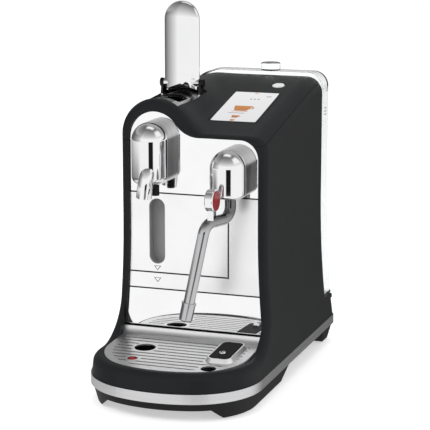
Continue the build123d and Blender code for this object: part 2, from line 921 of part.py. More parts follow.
def tube(points, radius, bend):
    """Round bar along straight runs that are joined by tangent arcs."""
    with BuildPart() as bar:
        with BuildLine() as path:
            FilletPolyline(*points, radius=bend)
        with BuildSketch(Plane(origin=path.wire() @ 0, z_dir=path.wire() % 0)):
            Circle(radius)
        sweep(path=path.wire())
    return bar.part


# Coffee head with its spout and the hot water nozzle
with BuildPart() as coffee_head:
    add(head_blank(coffee_x, coffee_bottom, coffee_top))
save(coffee_head, "coffee_head")

with BuildPart() as coffee_spout:
    spout_points = (
        (coffee_x, head_axis_y, spout_rise),
        (coffee_x, spout_axis_y, spout_rise),
        (coffee_x, spout_axis_y, spout_bottom),
    )
    add(tube(spout_points, spout_radius, spout_bend))
    add(coffee_head.part, mode=Mode.SUBTRACT)
    with BuildSketch(Plane.XY.offset(spout_bottom)):
        with Locations((coffee_x, spout_axis_y)):
            Circle(spout_bore)
    extrude(amount=spout_depth, mode=Mode.SUBTRACT)
save(coffee_spout, "coffee_spout")

with BuildPart() as hot_water_nozzle:
    with BuildSketch(Plane.XY.offset(coffee_bottom)):
        with Locations((nozzle_x, nozzle_y)):
            Circle(nozzle_radius)
            Circle(nozzle_radius / 2, mode=Mode.SUBTRACT)
    extrude(amount=-nozzle_length)
save(hot_water_nozzle, "hot_water_nozzle")

# Steam head and wand; the wand tilts forward on a pin across the head
with BuildPart() as steam_head:
    add(head_blank(steam_x, steam_bottom, steam_top))
    with BuildSketch(Plane.XY.offset(steam_bottom)):
        with Locations((wand_x, (wand_slot_front + wand_slot_rear) / 2)):
            Rectangle(wand_eye_width + 2 * clearance, wand_slot_rear - wand_slot_front)
    extrude(amount=wand_pivot_z + wand_radius + reveal - steam_bottom, mode=Mode.SUBTRACT)
    with Locations(Plane.YZ.offset(wand_x)):
        with Locations((wand_pivot_y, wand_pivot_z)):
            Cylinder(wand_pin_radius + pin_clearance, wand_pin_length, mode=Mode.SUBTRACT)
save(steam_head, "steam_head")

with BuildPart() as wand_pin:
    with Locations(Plane.YZ.offset(wand_x)):
        with Locations((wand_pivot_y, wand_pivot_z)):
            Cylinder(wand_pin_radius, wand_pin_length)
save(wand_pin, "wand_pin")

wand_lean = Vector(*wand_foot) - Vector(*wand_elbow)
wand_lean = wand_lean.normalized()
wand_end = Vector(*wand_foot) - wand_lean * tip_length
wand_points = (
    (wand_x, wand_pivot_y, wand_pivot_z),
    (wand_x, wand_pivot_y, wand_drop_z),
    wand_elbow,
    (wand_end.X, wand_end.Y, wand_end.Z),
)
with BuildPart() as wand_pipe:
    add(tube(wand_points, wand_radius, wand_bend))
    with Locations(Plane.YZ.offset(wand_x)):
        with Locations((wand_pivot_y, wand_pivot_z)):
            Cylinder(wand_radius, wand_eye_width)
            Cylinder(wand_pin_radius + pin_clearance, 2 * wand_eye_width, mode=Mode.SUBTRACT)
save(wand_pipe, "wand_pipe")

with BuildPart() as wand_tip:
    tip_plane = Plane(origin=wand_end, z_dir=wand_lean)
    with BuildSketch(tip_plane):
        Circle(tip_radius)
    extrude(amount=tip_length)
    fillet(wand_tip.edges().sort_by(Axis.Z)[0], tip_edge)
    with BuildSketch(tip_plane):
        Circle(tip_radius + tip_ring / 2)
    extrude(amount=tip_ring)
    with BuildSketch(tip_plane.offset(tip_length)):
        Circle(tip_hole)
    extrude(amount=-tip_edge * 3, mode=Mode.SUBTRACT)
save(wand_tip, "wand_tip")

with BuildPart() as wand_tab:
    with Locations(Plane.YZ.offset(tab_x)):
        with Locations((tab_y, tab_z)):
            Cylinder(tab_radius, tab_thickness)
    fillet(wand_tab.edges().filter_by(GeomType.CIRCLE), tab_edge)
    with BuildSketch(Plane.XY.offset(tab_stem_low)):
        with Locations((tab_x, tab_y)):
            Rectangle(tab_stem, tab_stem_depth)
    extrude(amount=tab_z - tab_stem_low)
    add(wand_pipe.part, mode=Mode.SUBTRACT)
save(wand_tab, "wand_tab")

with BuildPart() as wand_cap:
    with Locations(Plane.YZ.offset(tab_x + tab_thickness / 2 + cap_thickness / 2)):
        with Locations((tab_y, tab_z)):
            Cylinder(tab_radius - tab_edge, cap_thickness)
save(wand_cap, "wand_cap")


# Drip tray, its grille, the level float and the milk jug sensor
def side_region_above(lift):
    """Everything above the grille's top face, raised by a lift."""
    front_z = grille_z(base_front) + lift
    rear_z = grille_z(housing_rear) + lift
    with BuildPart() as region:
        with BuildSketch(Plane.YZ):
            with BuildLine():
                Polyline(
                    (base_front, front_z),
                    (housing_rear, rear_z),
                    (housing_rear, flare_start),
                    (base_front, flare_start),
                    close=True,
                )
            make_face()
        extrude(amount=base_width, both=True)
    return region.part


def tray_outline(inset, rear):
    """Plan of the tray bay in front of a rear line, moved in by an inset."""
    with BuildSketch() as outline:
        add(plan_outline(tray_inset + inset))
        with Locations((0, rear + base_depth)):
            Rectangle(2 * base_depth, 2 * base_depth, mode=Mode.SUBTRACT)
    return outline.sketch


def grille_field():
    """Area of the grille that carries slots: inside its margins and clear of the bordered holes."""
    with BuildSketch() as field:
        add(tray_outline(grille_margin, grille_crease_y - grille_margin / 2))
        with Locations((drain_x, drain_y)):
            Circle(drain_radius + hole_border, mode=Mode.SUBTRACT)
        with Locations((float_x, float_y)):
            Circle(float_hole_radius + hole_border, mode=Mode.SUBTRACT)
        with Locations((grip_x, grip_y)):
            Circle(grip_radius + hole_border, mode=Mode.SUBTRACT)
        with Locations((sensor_x, sensor_y)):
            Rectangle(sensor_width + 3 * hole_border, sensor_depth + 3 * hole_border, mode=Mode.SUBTRACT)
    return field.sketch


def sensor_collar():
    """Tapered frame that stands on the grille round the jug sensor's pad."""
    leaning = Plane(
        origin=(sensor_x, sensor_y, grille_z(sensor_y) - grille_thickness / 2),
        x_dir=(1, 0, 0),
        z_dir=(0, -sin(radians(grille_slope)), cos(radians(grille_slope))),
    )
    with BuildPart() as collar:
        for height, border in ((0, collar_foot), (collar_rise + grille_thickness / 2, collar_lip)):
            around = reveal + border
            with BuildSketch(leaning.offset(height)):
                RectangleRounded(
                    sensor_width + 2 * around, sensor_depth + 2 * around, sensor_corner + around
                )
        loft(ruled=True)
        with BuildSketch():
            with Locations((sensor_x, sensor_y)):
                RectangleRounded(
                    sensor_width + 2 * reveal, sensor_depth + 2 * reveal, sensor_corner + reveal
                )
        extrude(amount=2 * rim_top, mode=Mode.SUBTRACT)
    return collar.part


with BuildSketch() as slot_rows:
    with Locations((0, (grille_crease_y + base_front + tray_inset) / 2)):
        with GridLocations(1, rib_pitch, 1, rib_count):
            Rectangle(base_width, rib_slot)
    add(grille_field(), mode=Mode.INTERSECT)

with BuildPart() as drip_grille:
    mid_drop = grille_thickness / 2
    lean = radians(grille_slope)
    with BuildSketch(Plane.YZ):
        with BuildLine():
            Line(
                (base_front, grille_z(base_front) - mid_drop),
                (grille_crease_y, grille_z(grille_crease_y) - mid_drop),
            )
            TangentArc(
                (grille_crease_y, grille_z(grille_crease_y) - mid_drop),
                (grille_rear - grille_thickness, tray_seam_z - mid_drop),
                tangent=(cos(lean), sin(lean)),
            )
        trace(line_width=grille_thickness)
    extrude(amount=base_width, both=True)
    with BuildSketch(Plane.XY.offset(base_top)):
        add(tray_outline(clearance, grille_rear))
    extrude(amount=2 * rim_top, mode=Mode.INTERSECT)
    with BuildSketch(Plane.XY.offset(base_top)):
        add(slot_rows.sketch)
        with Locations((drain_x, drain_y)):
            Circle(drain_radius)
        with Locations((float_x, float_y)):
            Circle(float_hole_radius)
        with Locations((grip_x, grip_y)):
            Circle(grip_radius)
        with Locations((sensor_x, sensor_y)):
            RectangleRounded(sensor_width + 2 * reveal, sensor_depth + 2 * reveal, sensor_corner + reveal)
    extrude(amount=rim_top, mode=Mode.SUBTRACT)
    add(sensor_collar())
save(drip_grille, "drip_grille")

with BuildPart() as drip_tray:
    tray_low = pan_floor + seat_gap
    tray_rear = panel_back - 5 * clearance
    with BuildSketch(Plane.XY.offset(tray_low)):
        add(tray_outline(2 * clearance, tray_rear))
    extrude(amount=tray_seam_z - tray_low)
    with BuildSketch(Plane.XY.offset(tray_low + tray_wall)):
        add(tray_outline(2 * clearance + tray_wall, tray_rear - tray_wall))
    extrude(amount=tray_seam_z, mode=Mode.SUBTRACT)
    with BuildSketch(Plane.XY.offset(tray_low)):
        with Locations((sensor_x, sensor_y)):
            around = 2 * (reveal + tray_wall)
            RectangleRounded(sensor_width + around, sensor_depth + around, sensor_corner + around / 2)
    extrude(amount=tray_seam_z - tray_low)
    with BuildSketch(Plane.XY.offset(tray_low)):
        with Locations((sensor_x, sensor_y)):
            RectangleRounded(sensor_width + 2 * reveal, sensor_depth + 2 * reveal, sensor_corner + reveal)
    extrude(amount=tray_seam_z, mode=Mode.SUBTRACT)
    add(side_region_above(-grille_thickness - clearance), mode=Mode.SUBTRACT)
    with BuildSketch(Plane.XY.offset(tray_seam_z - tray_lift - clearance)):
        with Locations((0, grille_rear + base_depth)):
            Rectangle(2 * base_width, 2 * base_depth)
    extrude(amount=tray_seam_z, mode=Mode.SUBTRACT)
save(drip_tray, "drip_tray")

with BuildPart() as level_float:
    float_low = tray_low + tray_wall + seat_gap
    with BuildSketch(Plane.XY.offset(float_low)):
        with Locations((float_x, float_y)):
            Circle(float_foot_radius)
    extrude(amount=float_foot_height)
    with BuildSketch(Plane.XY.offset(float_low)):
        with Locations((float_x, float_y)):
            Circle(float_radius)
    extrude(amount=grille_z(float_y) - reveal - float_low)
    fillet(level_float.edges().sort_by(Axis.Z)[-1], float_radius / 3)
save(level_float, "level_float")

with BuildPart() as sensor_pad:
    with BuildSketch(Plane.XY.offset(pan_floor)):
        with Locations((sensor_x, sensor_y)):
            RectangleRounded(sensor_width, sensor_depth, sensor_corner)
    extrude(amount=rim_top)
    add(side_region_above(sensor_raise), mode=Mode.SUBTRACT)
    fillet(sensor_pad.faces().sort_by(Axis.Z)[-1].edges(), sensor_edge)
    button_top = grille_z(sensor_button_y) + sensor_raise + sensor_button_stand
    with BuildSketch(Plane.XY.offset(button_top)):
        with Locations((sensor_x, sensor_button_y)):
            Circle(sensor_button_radius + pin_clearance)
    extrude(amount=-sensor_button_height - sensor_travel - clearance, mode=Mode.SUBTRACT)
save(sensor_pad, "sensor_pad")

with BuildPart() as sensor_button:
    with BuildSketch(Plane.XY.offset(button_top)):
        with Locations((sensor_x, sensor_button_y)):
            Circle(sensor_button_radius)
    extrude(amount=-sensor_button_height)
    fillet(sensor_button.edges().sort_by(Axis.Z)[-1], sensor_edge)
save(sensor_button, "sensor_button")

# Pod deck in the hump, the capsule lever on its pin, and the brew chamber below
lug_centre = lever_width / 2 + reveal + lug_thickness / 2
deck_centre_z = crest_z(deck_front) - hump_radius
lever_pivot_z = crest_z(deck_front) + lever_gap + lever_thickness / 2
lug_low = deck_centre_z + hump_radius - lug_root
with BuildPart() as pod_deck:
    with BuildSketch(Plane.XZ.offset(-deck_rear)):
        with Locations((pod_x, deck_centre_z)):
            Circle(hump_radius - deck_recess)
            Circle(hump_radius - deck_recess - deck_thickness, mode=Mode.SUBTRACT)
        with Locations((pod_x, deck_centre_z + hump_radius / 2)):
            Rectangle(2 * deck_half, hump_radius, mode=Mode.INTERSECT)
    extrude(amount=deck_rear - deck_front)
    with BuildSketch(Plane.XY.offset(hump_centre_z)):
        with Locations((pod_x, pod_y)):
            RectangleRounded(pod_width, pod_depth, pod_corner)
    extrude(amount=2 * hump_radius, mode=Mode.SUBTRACT)
    for side in (-1, 1):
        with BuildSketch(Plane.YZ.offset(pod_x + side * lug_centre - lug_thickness / 2)):
            with Locations((lever_pivot_y, lever_pivot_z)):
                Circle(lug_radius)
            with BuildLine():
                Polyline(
                    (lever_pivot_y - lug_radius, lever_pivot_z),
                    (lever_pivot_y + lug_radius, lever_pivot_z),
                    (lever_pivot_y + lug_spread, lug_low),
                    (lever_pivot_y - lug_spread, lug_low),
                    close=True,
                )
            make_face()
            with Locations((lever_pivot_y, lever_pivot_z)):
                Circle(lever_pin_radius + pin_clearance, mode=Mode.SUBTRACT)
        extrude(amount=lug_thickness)
save(pod_deck, "pod_deck")

with BuildPart() as lever_pin:
    pin_half = lug_centre + lug_thickness / 2
    with Locations(Plane.YZ.offset(pod_x)):
        with Locations((lever_pivot_y, lever_pivot_z)):
            Cylinder(lever_pin_radius, 2 * pin_half)
        with Locations((lever_pivot_y, lever_pivot_z, pin_half + pin_head / 2)):
            Cylinder(2 * lever_pin_radius, pin_head)
        with Locations((lever_pivot_y, lever_pivot_z, -pin_half - pin_head / 2)):
            Cylinder(2 * lever_pin_radius, pin_head)
save(lever_pin, "lever_pin")

lever_half = lever_width / 2
half_thick = lever_thickness / 2
dome_z = lever_top - lever_half
with BuildPart() as lever_dome:
    with BuildSketch(Plane.XY.offset(dome_z)):
        with Locations((pod_x, lever_pivot_y)):
            Ellipse(lever_half, half_thick)
        with Locations((pod_x - lever_half, lever_pivot_y)):
            Rectangle(lever_width, lever_thickness, mode=Mode.SUBTRACT)
    revolve(axis=Axis((pod_x, lever_pivot_y, dome_z), (0, -1, 0)), revolution_arc=180)

with BuildPart() as capsule_lever:
    with BuildSketch(Plane.XY.offset(lever_pivot_z - half_thick)):
        with Locations((pod_x, lever_pivot_y)):
            Ellipse(lever_half, half_thick)
    extrude(amount=dome_z - lever_pivot_z + half_thick)
    with BuildPart(mode=Mode.PRIVATE) as lever_foot:
        with Locations(Plane.YZ.offset(pod_x)):
            with Locations((lever_pivot_y, lever_pivot_z)):
                Cylinder(half_thick, lever_width)
        with Locations((pod_x, lever_pivot_y, (lever_pivot_z + lever_top) / 2)):
            Box(lever_width, lever_thickness, lever_top - lever_pivot_z)
    add(lever_foot.part, mode=Mode.INTERSECT)
    add(lever_dome.part)
    with Locations(Plane.YZ.offset(pod_x)):
        with Locations((lever_pivot_y, lever_pivot_z)):
            Cylinder(lever_barrel_radius, lever_width)
            Cylinder(lever_pin_radius + pin_clearance, 2 * lever_width, mode=Mode.SUBTRACT)
save(capsule_lever, "capsule_lever")

with BuildPart() as brew_chamber:
    with BuildSketch(Plane.XY.offset(brew_floor)):
        with Locations((pod_x, (brew_front + brew_rear) / 2)):
            Rectangle(2 * brew_half, brew_rear - brew_front)
    extrude(amount=brew_top - brew_floor)
    with BuildSketch(Plane.XY.offset(brew_top)):
        with Locations((pod_x, pod_y)):
            Rectangle(pod_width + 2 * collar_wall, pod_depth + 2 * collar_wall)
    extrude(amount=collar_top - brew_top)
    with BuildSketch(Plane.XY.offset(brew_floor)):
        with Locations((pod_x, pod_y)):
            RectangleRounded(pod_width, pod_depth, pod_corner)
    extrude(amount=hump_top, mode=Mode.SUBTRACT)
    with BuildSketch(Plane.XZ.offset(-brew_rear)):
        with Locations((pod_x, piston_z)):
            Circle(piston_radius + pin_clearance)
    extrude(amount=brew_rear - pod_y, mode=Mode.SUBTRACT)
save(brew_chamber, "brew_chamber")

piston_front = pod_y + pod_depth / 2 + piston_rest
with BuildPart() as brew_piston:
    with BuildSketch(Plane.XZ.offset(-piston_front)):
        with Locations((pod_x, piston_z)):
            Circle(piston_radius)
    extrude(amount=-piston_length)
    with BuildSketch(Plane.XZ.offset(-piston_front - seal_width)):
        with Locations((pod_x, piston_z)):
            Circle(2 * piston_radius)
            Circle(piston_radius - seal_depth, mode=Mode.SUBTRACT)
    extrude(amount=-seal_width, mode=Mode.SUBTRACT)
save(brew_piston, "brew_piston")

with BuildPart() as piston_seal:
    with BuildSketch(Plane.XZ.offset(-piston_front - seal_width)):
        with Locations((pod_x, piston_z)):
            Circle(piston_radius)
            Circle(piston_radius - seal_depth, mode=Mode.SUBTRACT)
    extrude(amount=-seal_width)
save(piston_seal, "piston_seal")

# Display and power button, set square to the sloping deck
with BuildPart() as display_glass:
    with BuildSketch(display_plane(screen_x, screen_y, glass_proud)):
        RectangleRounded(glass_width, glass_length, glass_border)
    extrude(amount=-glass_thickness)
save(display_glass, "display_glass")

with BuildPart() as display_module:
    with BuildSketch(display_plane(screen_x, screen_y, glass_proud - glass_thickness)):
        module_inset = 2 * module_ledge + 2 * clearance
        Rectangle(glass_width - module_inset, glass_length - module_inset)
    extrude(amount=-module_depth)
save(display_module, "display_module")

with BuildPart() as power_button:
    with BuildSketch(display_plane(button_x, button_y, button_stand)):
        Circle(button_radius)
    extrude(amount=-button_height)
    fillet(power_button.edges().filter_by(GeomType.CIRCLE).sort_by(Axis.Z)[-1], button_edge)
save(power_button, "power_button")

# Water tank at the rear, with its outlet valve, lid and knob; tank and lid share one form
def tank_core(low, wall):
    """What lies inside the tank's form by a wall, from a height up."""
    with BuildPart() as core:
        with BuildSketch(Plane.XZ.offset(wall - tank_rear)):
            add(tank_outline(low, tank_side_inset + wall))
        extrude(amount=tank_rear - tank_front - 2 * wall)
    return core.part


def slab_between(low, high):
    """Everything between two heights."""
    with BuildPart() as slab:
        with BuildSketch(Plane.XY.offset(low)):
            Rectangle(2 * base_width, 2 * base_depth)
        extrude(amount=high - low)
    return slab.part


with BuildPart() as tank_form:
    add(tank_core(tank_bottom, 0))
    rear_edges = tank_form.edges().filter_by(
        lambda edge: edge.bounding_box().min.Y > tank_rear - edge_pick
        and edge.center().Z > tank_bottom + edge_pick
    )
    fillet(rear_edges, tank_corner)

with BuildPart() as water_tank:
    add(tank_form.part)
    add(slab_between(0, tank_top), mode=Mode.INTERSECT)
    add(tank_core(tank_bottom + tank_wall, tank_wall), mode=Mode.SUBTRACT)
save(water_tank, "water_tank")

with BuildPart() as tank_valve:
    with BuildSketch(Plane.XY.offset(tank_bottom)):
        with Locations((valve_x, tank_mid_y)):
            Circle(valve_radius)
            Circle(valve_radius / 2, mode=Mode.SUBTRACT)
    extrude(amount=-valve_length)
save(tank_valve, "tank_valve")

with BuildPart() as tank_socket:
    with BuildSketch(Plane.XY.offset(shelf_z)):
        with Locations((valve_x, tank_mid_y)):
            Circle(socket_radius)
    extrude(amount=-socket_height)
    with BuildSketch(Plane.XY.offset(shelf_z)):
        with Locations((valve_x, tank_mid_y)):
            Circle(valve_radius + clearance)
    extrude(amount=-valve_length, mode=Mode.SUBTRACT)
save(tank_socket, "tank_socket")

with BuildPart() as lid_plug:
    add(tank_core(tank_bottom + tank_wall, tank_wall + reveal))
    add(slab_between(tank_top - lid_lip, tank_top + lid_lip), mode=Mode.INTERSECT)

with BuildPart() as tank_lid:
    add(tank_form.part)
    add(slab_between(tank_top + seat_gap, lid_top), mode=Mode.INTERSECT)
    add(lid_plug.part)
    add(tank_core(tank_bottom + tank_wall, tank_wall + reveal + lid_wall), mode=Mode.SUBTRACT)
save(tank_lid, "tank_lid")

with BuildPart() as lid_knob:
    with BuildSketch(Plane.XY.offset(lid_top)):
        with Locations((knob_x, tank_mid_y)):
            Circle(knob_radius)
    extrude(amount=knob_height)
    fillet(lid_knob.edges().sort_by(Axis.Z)[-1], knob_edge)
save(lid_knob, "lid_knob")

# Inside: frame, pump, heaters, board and pipework
with BuildPart() as inner_frame:
    frame_front = cavity_front + 2 * frame_plate
    frame_mid = (frame_front + frame_rear) / 2
    frame_length = frame_rear - frame_front
    frame_half = inner_half - 2 * clearance
    with BuildSketch(Plane.XY.offset(pan_floor)):
        with Locations((0, frame_mid)):
            Rectangle(2 * frame_half, frame_length)
        with Locations(screw_places):
            Circle(screw_radius + pin_clearance, mode=Mode.SUBTRACT)
    extrude(amount=frame_plate)
    with BuildSketch(Plane.XY.offset(pan_floor)):
        with Locations((frame_wall_x + frame_plate / 2, frame_mid)):
            Rectangle(frame_plate, frame_length)
        with Locations((frame_plate / 2 - frame_half, frame_mid)):
            Rectangle(frame_plate, frame_length)
    extrude(amount=brew_floor - pan_floor)
    with BuildSketch(Plane.XY.offset(shelf_plate_z)):
        with Locations(((frame_wall_x - frame_half) / 2, (frame_front + shelf_plate_rear) / 2)):
            Rectangle(frame_wall_x + frame_half, shelf_plate_rear - frame_front)
    extrude(amount=frame_plate)
    with BuildSketch(Plane.XY.offset(frame_deck_z)):
        with Locations((0, frame_mid)):
            Rectangle(2 * frame_half, frame_length)
        with Locations((pod_x, pod_y)):
            RectangleRounded(pod_width, pod_depth, pod_corner, mode=Mode.SUBTRACT)
        with Locations((pump_x, pump_hose_y), (boiler_x, boiler_y)):
            Circle(2 * hose_radius, mode=Mode.SUBTRACT)
    extrude(amount=frame_plate)
save(inner_frame, "inner_frame")

with BuildPart() as base_screws:
    head_low = side_arch_top
    with BuildSketch(Plane.XY.offset(head_low)):
        with Locations(screw_places):
            Circle(screw_head_radius)
    extrude(amount=screw_head_height)
    with BuildSketch(Plane.XY.offset(head_low)):
        with Locations(screw_places):
            Circle(screw_radius)
    extrude(amount=frame_floor + frame_plate - head_low)
save(base_screws, "base_screws")

with BuildPart() as water_pump:
    with BuildSketch(Plane.XZ.offset(-pump_y - pump_length / 2)):
        with Locations((pump_x, pump_z)):
            Circle(pump_radius)
    extrude(amount=pump_length)
    with Locations((pump_x, pump_y, pump_z)):
        Box(pump_block_width, pump_block_width, pump_block_width)
save(water_pump, "water_pump")

with BuildPart() as pump_mounts:
    with BuildSketch(Plane.XY.offset(frame_floor)):
        with Locations((pump_x, pump_y)):
            with GridLocations(1, pump_block_width - mount_width, 1, 2):
                Rectangle(pump_block_width, mount_width)
    extrude(amount=pump_z - pump_block_width / 2 - frame_floor)
save(pump_mounts, "pump_mounts")

with BuildPart() as steam_boiler:
    with BuildSketch(Plane.XY.offset(boiler_low)):
        with Locations((boiler_x, boiler_y)):
            Circle(boiler_radius)
    extrude(amount=boiler_high - boiler_low)
    bracket_left = frame_wall_x + frame_plate
    with Locations(((bracket_left + boiler_x) / 2, boiler_y, (boiler_low + boiler_high) / 2)):
        Box(boiler_x - bracket_left, boiler_radius, boiler_radius)
save(steam_boiler, "steam_boiler")

with BuildPart() as coffee_heater:
    heater_front = brew_rear + heater_gap
    with BuildSketch(Plane.XY.offset(brew_floor)):
        with Locations((pod_x, heater_front + heater_depth / 2)):
            RectangleRounded(heater_width, heater_depth, heater_gap)
    extrude(amount=heater_height)
    with BuildSketch(Plane.XZ.offset(-brew_rear)):
        with Locations((pod_x, brew_floor + heater_height / 3)):
            Circle(pipe_radius)
    extrude(amount=-2 * heater_gap)
save(coffee_heater, "coffee_heater")

with BuildPart() as control_board:
    board_rear = housing_rear - rear_panel_thickness
    with BuildSketch(Plane.XZ.offset(board_standoff - board_rear)):
        with Locations((board_x, board_z)):
            Rectangle(board_width, board_height)
    extrude(amount=board_thickness)
    with BuildSketch(Plane.XZ.offset(-board_rear)):
        with Locations((board_x, board_z)):
            with GridLocations(board_width - 2 * board_standoff, board_height - 2 * board_standoff, 2, 2):
                Circle(board_standoff / 2)
    extrude(amount=board_standoff)
save(control_board, "control_board")

with BuildPart() as inlet_hose:
    hose_turn = (housing_rear + frame_rear) / 2
    hose_points = (
        (valve_x, tank_mid_y - socket_radius, pump_z),
        (valve_x, hose_turn, pump_z),
        (pump_x, hose_turn - hose_bend, pump_z),
        (pump_x, pump_y + pump_length / 2, pump_z),
    )
    add(tube(hose_points, hose_radius, hose_bend / 2))
    add(tank_socket.part, mode=Mode.SUBTRACT)
save(inlet_hose, "inlet_hose")

with BuildPart() as pump_hose:
    hose_level = brew_floor + heater_height / 2
    hose_mid_y = heater_front + heater_depth / 2
    hose_points = (
        (pump_x, pump_y - pump_length / 2, pump_z),
        (pump_x, pump_hose_y, pump_z),
        (pump_x, pump_hose_y, hose_level),
        (pump_x / 4, hose_mid_y, hose_level),
        (pod_x + heater_width / 2, hose_mid_y, hose_level),
    )
    add(tube(hose_points, hose_radius, hose_bend))
save(pump_hose, "pump_hose")

with BuildPart() as steam_pipe:
    pipe_level = stub_height(steam_bottom, steam_top)
    pipe_points = (
        (boiler_x, boiler_y, boiler_high),
        (boiler_x, boiler_y, pipe_level),
        (steam_x, brew_front + steam_run, pipe_level),
        (steam_x, brew_front, pipe_level),
    )
    add(tube(pipe_points, pipe_radius, pipe_bend))
save(steam_pipe, "steam_pipe")
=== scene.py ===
"""Dresses the pod coffee machine and sets it in a white studio.

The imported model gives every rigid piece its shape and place. This script gives each piece its
finish. It adds the shells of the two heads, the horn of the coffee spout, the valance under the
front, the dark seams, the lit screen picture and the printed marks, and builds the light, the
floor and the camera. The machine's sizes are in millimetres and the studio's in metres.
"""

from __future__ import annotations

import json
import logging
import math
from dataclasses import dataclass
from enum import Enum

import bpy
import numpy as np
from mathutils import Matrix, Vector

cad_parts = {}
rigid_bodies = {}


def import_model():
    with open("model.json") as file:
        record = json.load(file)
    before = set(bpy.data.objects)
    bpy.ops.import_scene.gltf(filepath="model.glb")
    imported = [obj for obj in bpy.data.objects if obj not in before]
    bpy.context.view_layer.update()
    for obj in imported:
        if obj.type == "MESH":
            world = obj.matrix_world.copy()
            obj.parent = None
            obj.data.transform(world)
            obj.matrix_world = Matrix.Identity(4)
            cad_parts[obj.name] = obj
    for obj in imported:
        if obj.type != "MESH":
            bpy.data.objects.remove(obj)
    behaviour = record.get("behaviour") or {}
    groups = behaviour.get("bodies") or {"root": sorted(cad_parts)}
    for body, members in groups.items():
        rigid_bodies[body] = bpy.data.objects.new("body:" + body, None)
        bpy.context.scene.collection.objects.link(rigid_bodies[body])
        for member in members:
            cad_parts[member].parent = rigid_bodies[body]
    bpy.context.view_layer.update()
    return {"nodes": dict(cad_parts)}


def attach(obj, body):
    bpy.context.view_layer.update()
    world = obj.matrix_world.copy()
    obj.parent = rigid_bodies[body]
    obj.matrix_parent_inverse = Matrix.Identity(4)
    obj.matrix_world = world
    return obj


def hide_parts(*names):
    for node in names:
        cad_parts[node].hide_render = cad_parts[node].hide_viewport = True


LOG = logging.getLogger("coffee_machine")
MM = 0.001
MERGE_DECIMALS = 4
SHARP_ANGLE = math.radians(35.0)
FRONT_AXES = np.array([[1.0, 0.0, 0.0], [0.0, 0.0, 1.0], [0.0, -1.0, 0.0]])
SIDE_AXES = np.array([[0.0, 1.0, 0.0], [0.0, 0.0, 1.0], [1.0, 0.0, 0.0]])

Colour = tuple[float, float, float]
Place = tuple[float, float, float]
Span = tuple[float, float]
Window = tuple[Span, Span]
Mesh = tuple[np.ndarray, np.ndarray]
Socket = bpy.types.NodeSocket
Value = Socket | float | tuple[float, ...]


class Effect(Enum):
    """Shared surface effects, each one a shader node group."""

    FINE_GRAIN = "FineGrain"
    SMUDGE = "Smudge"
    BRUSH_LINES = "BrushLines"


class SocketKind(Enum):
    """What an input of a node group takes."""

    NUMBER = "NodeSocketFloat"
    VECTOR = "NodeSocketVector"


class BrushRun(Enum):
    """How brushed lines run: the stretch of the noise along X, Y and Z, in lines per metre."""

    ROUND_THE_BAND = (14.0, 14.0, 2600.0)
    ACROSS = (16.0, 1500.0, 1500.0)


class Axis(Enum):
    """An axis of the machine along which a finish changes."""

    DEPTH = "Y"
    HEIGHT = "Z"


@dataclass(frozen=True)
class NoiseLook:
    """How a noise is drawn, and the band that nearly all of its values lie in."""

    detail: float
    roughness: float
    band: Span = (0.3, 0.7)
    distortion: float = 0.0


FINE_NOISE = NoiseLook(detail=3.0, roughness=0.6)
BROAD_NOISE = NoiseLook(detail=5.0, roughness=0.55)
PATCH_NOISE = NoiseLook(detail=4.0, roughness=0.6, band=(0.42, 0.78), distortion=0.7)
LINE_NOISE = NoiseLook(detail=2.0, roughness=0.5, band=(0.28, 0.72))


class Wiring:
    """Adds nodes to one node tree and joins their sockets."""

    def __init__(self, tree: bpy.types.NodeTree) -> None:
        """Keeps the tree and clears it."""
        self.tree = tree
        tree.nodes.clear()

    def node(
        self, kind: str, inputs: dict[str | int, Value] | None = None, **settings: object
    ) -> bpy.types.Node:
        """Adds a node.

        Args:
            kind: Blender's name for the node type.
            inputs: what each input gets, by name or number: a socket to join or a plain value.
            settings: attributes to set on the node.

        Returns:
            The new node.
        """
        made = self.tree.nodes.new(kind)
        for key, value in settings.items():
            setattr(made, key, value)
        for key, value in (inputs or {}).items():
            if isinstance(value, Socket):
                self.tree.links.new(value, made.inputs[key])
            else:
                made.inputs[key].default_value = value
        return made

    def math(self, operation: str, *values: Value) -> Socket:
        """Adds a math node.

        Args:
            operation: Blender's name for the operation.
            values: a socket to join or a number for each input.

        Returns:
            The socket of the result.
        """
        return self.node("ShaderNodeMath", dict(enumerate(values)), operation=operation).outputs[0]

    def spread(self, value: Socket, band: Span, target: tuple[Value, Value] = (0.0, 1.0)) -> Socket:
        """Takes a value from one band to another and holds it at the ends.

        Args:
            value: the socket of the value.
            band: the two ends of the band that it comes from.
            target: the two ends of the band that it goes to.

        Returns:
            The socket of the result.
        """
        low, high = band
        start, end = target
        ends = {"From Min": low, "From Max": high, "To Min": start, "To Max": end}
        return self.node("ShaderNodeMapRange", {"Value": value, **ends}).outputs["Result"]

    def place(self) -> Socket:
        """The surface's place in Object coordinates."""
        return self.node("ShaderNodeTexCoord").outputs["Object"]

    def place_along(self, axis: Axis) -> Socket:
        """The surface's place along one axis, in metres."""
        return self.node("ShaderNodeSeparateXYZ", {0: self.place()}).outputs[axis.value]

    def noise(self, vector: Socket, look: NoiseLook, scale: Value) -> Socket:
        """Adds a noise texture.

        Args:
            vector: the coordinates that it reads.
            look: how it is drawn.
            scale: its scale, as a socket or a number.

        Returns:
            The socket of the noise's value.
        """
        drawn = {"Detail": look.detail, "Roughness": look.roughness, "Distortion": look.distortion}
        made = self.node("ShaderNodeTexNoise", {"Vector": vector, "Scale": scale, **drawn})
        return made.outputs["Fac"]


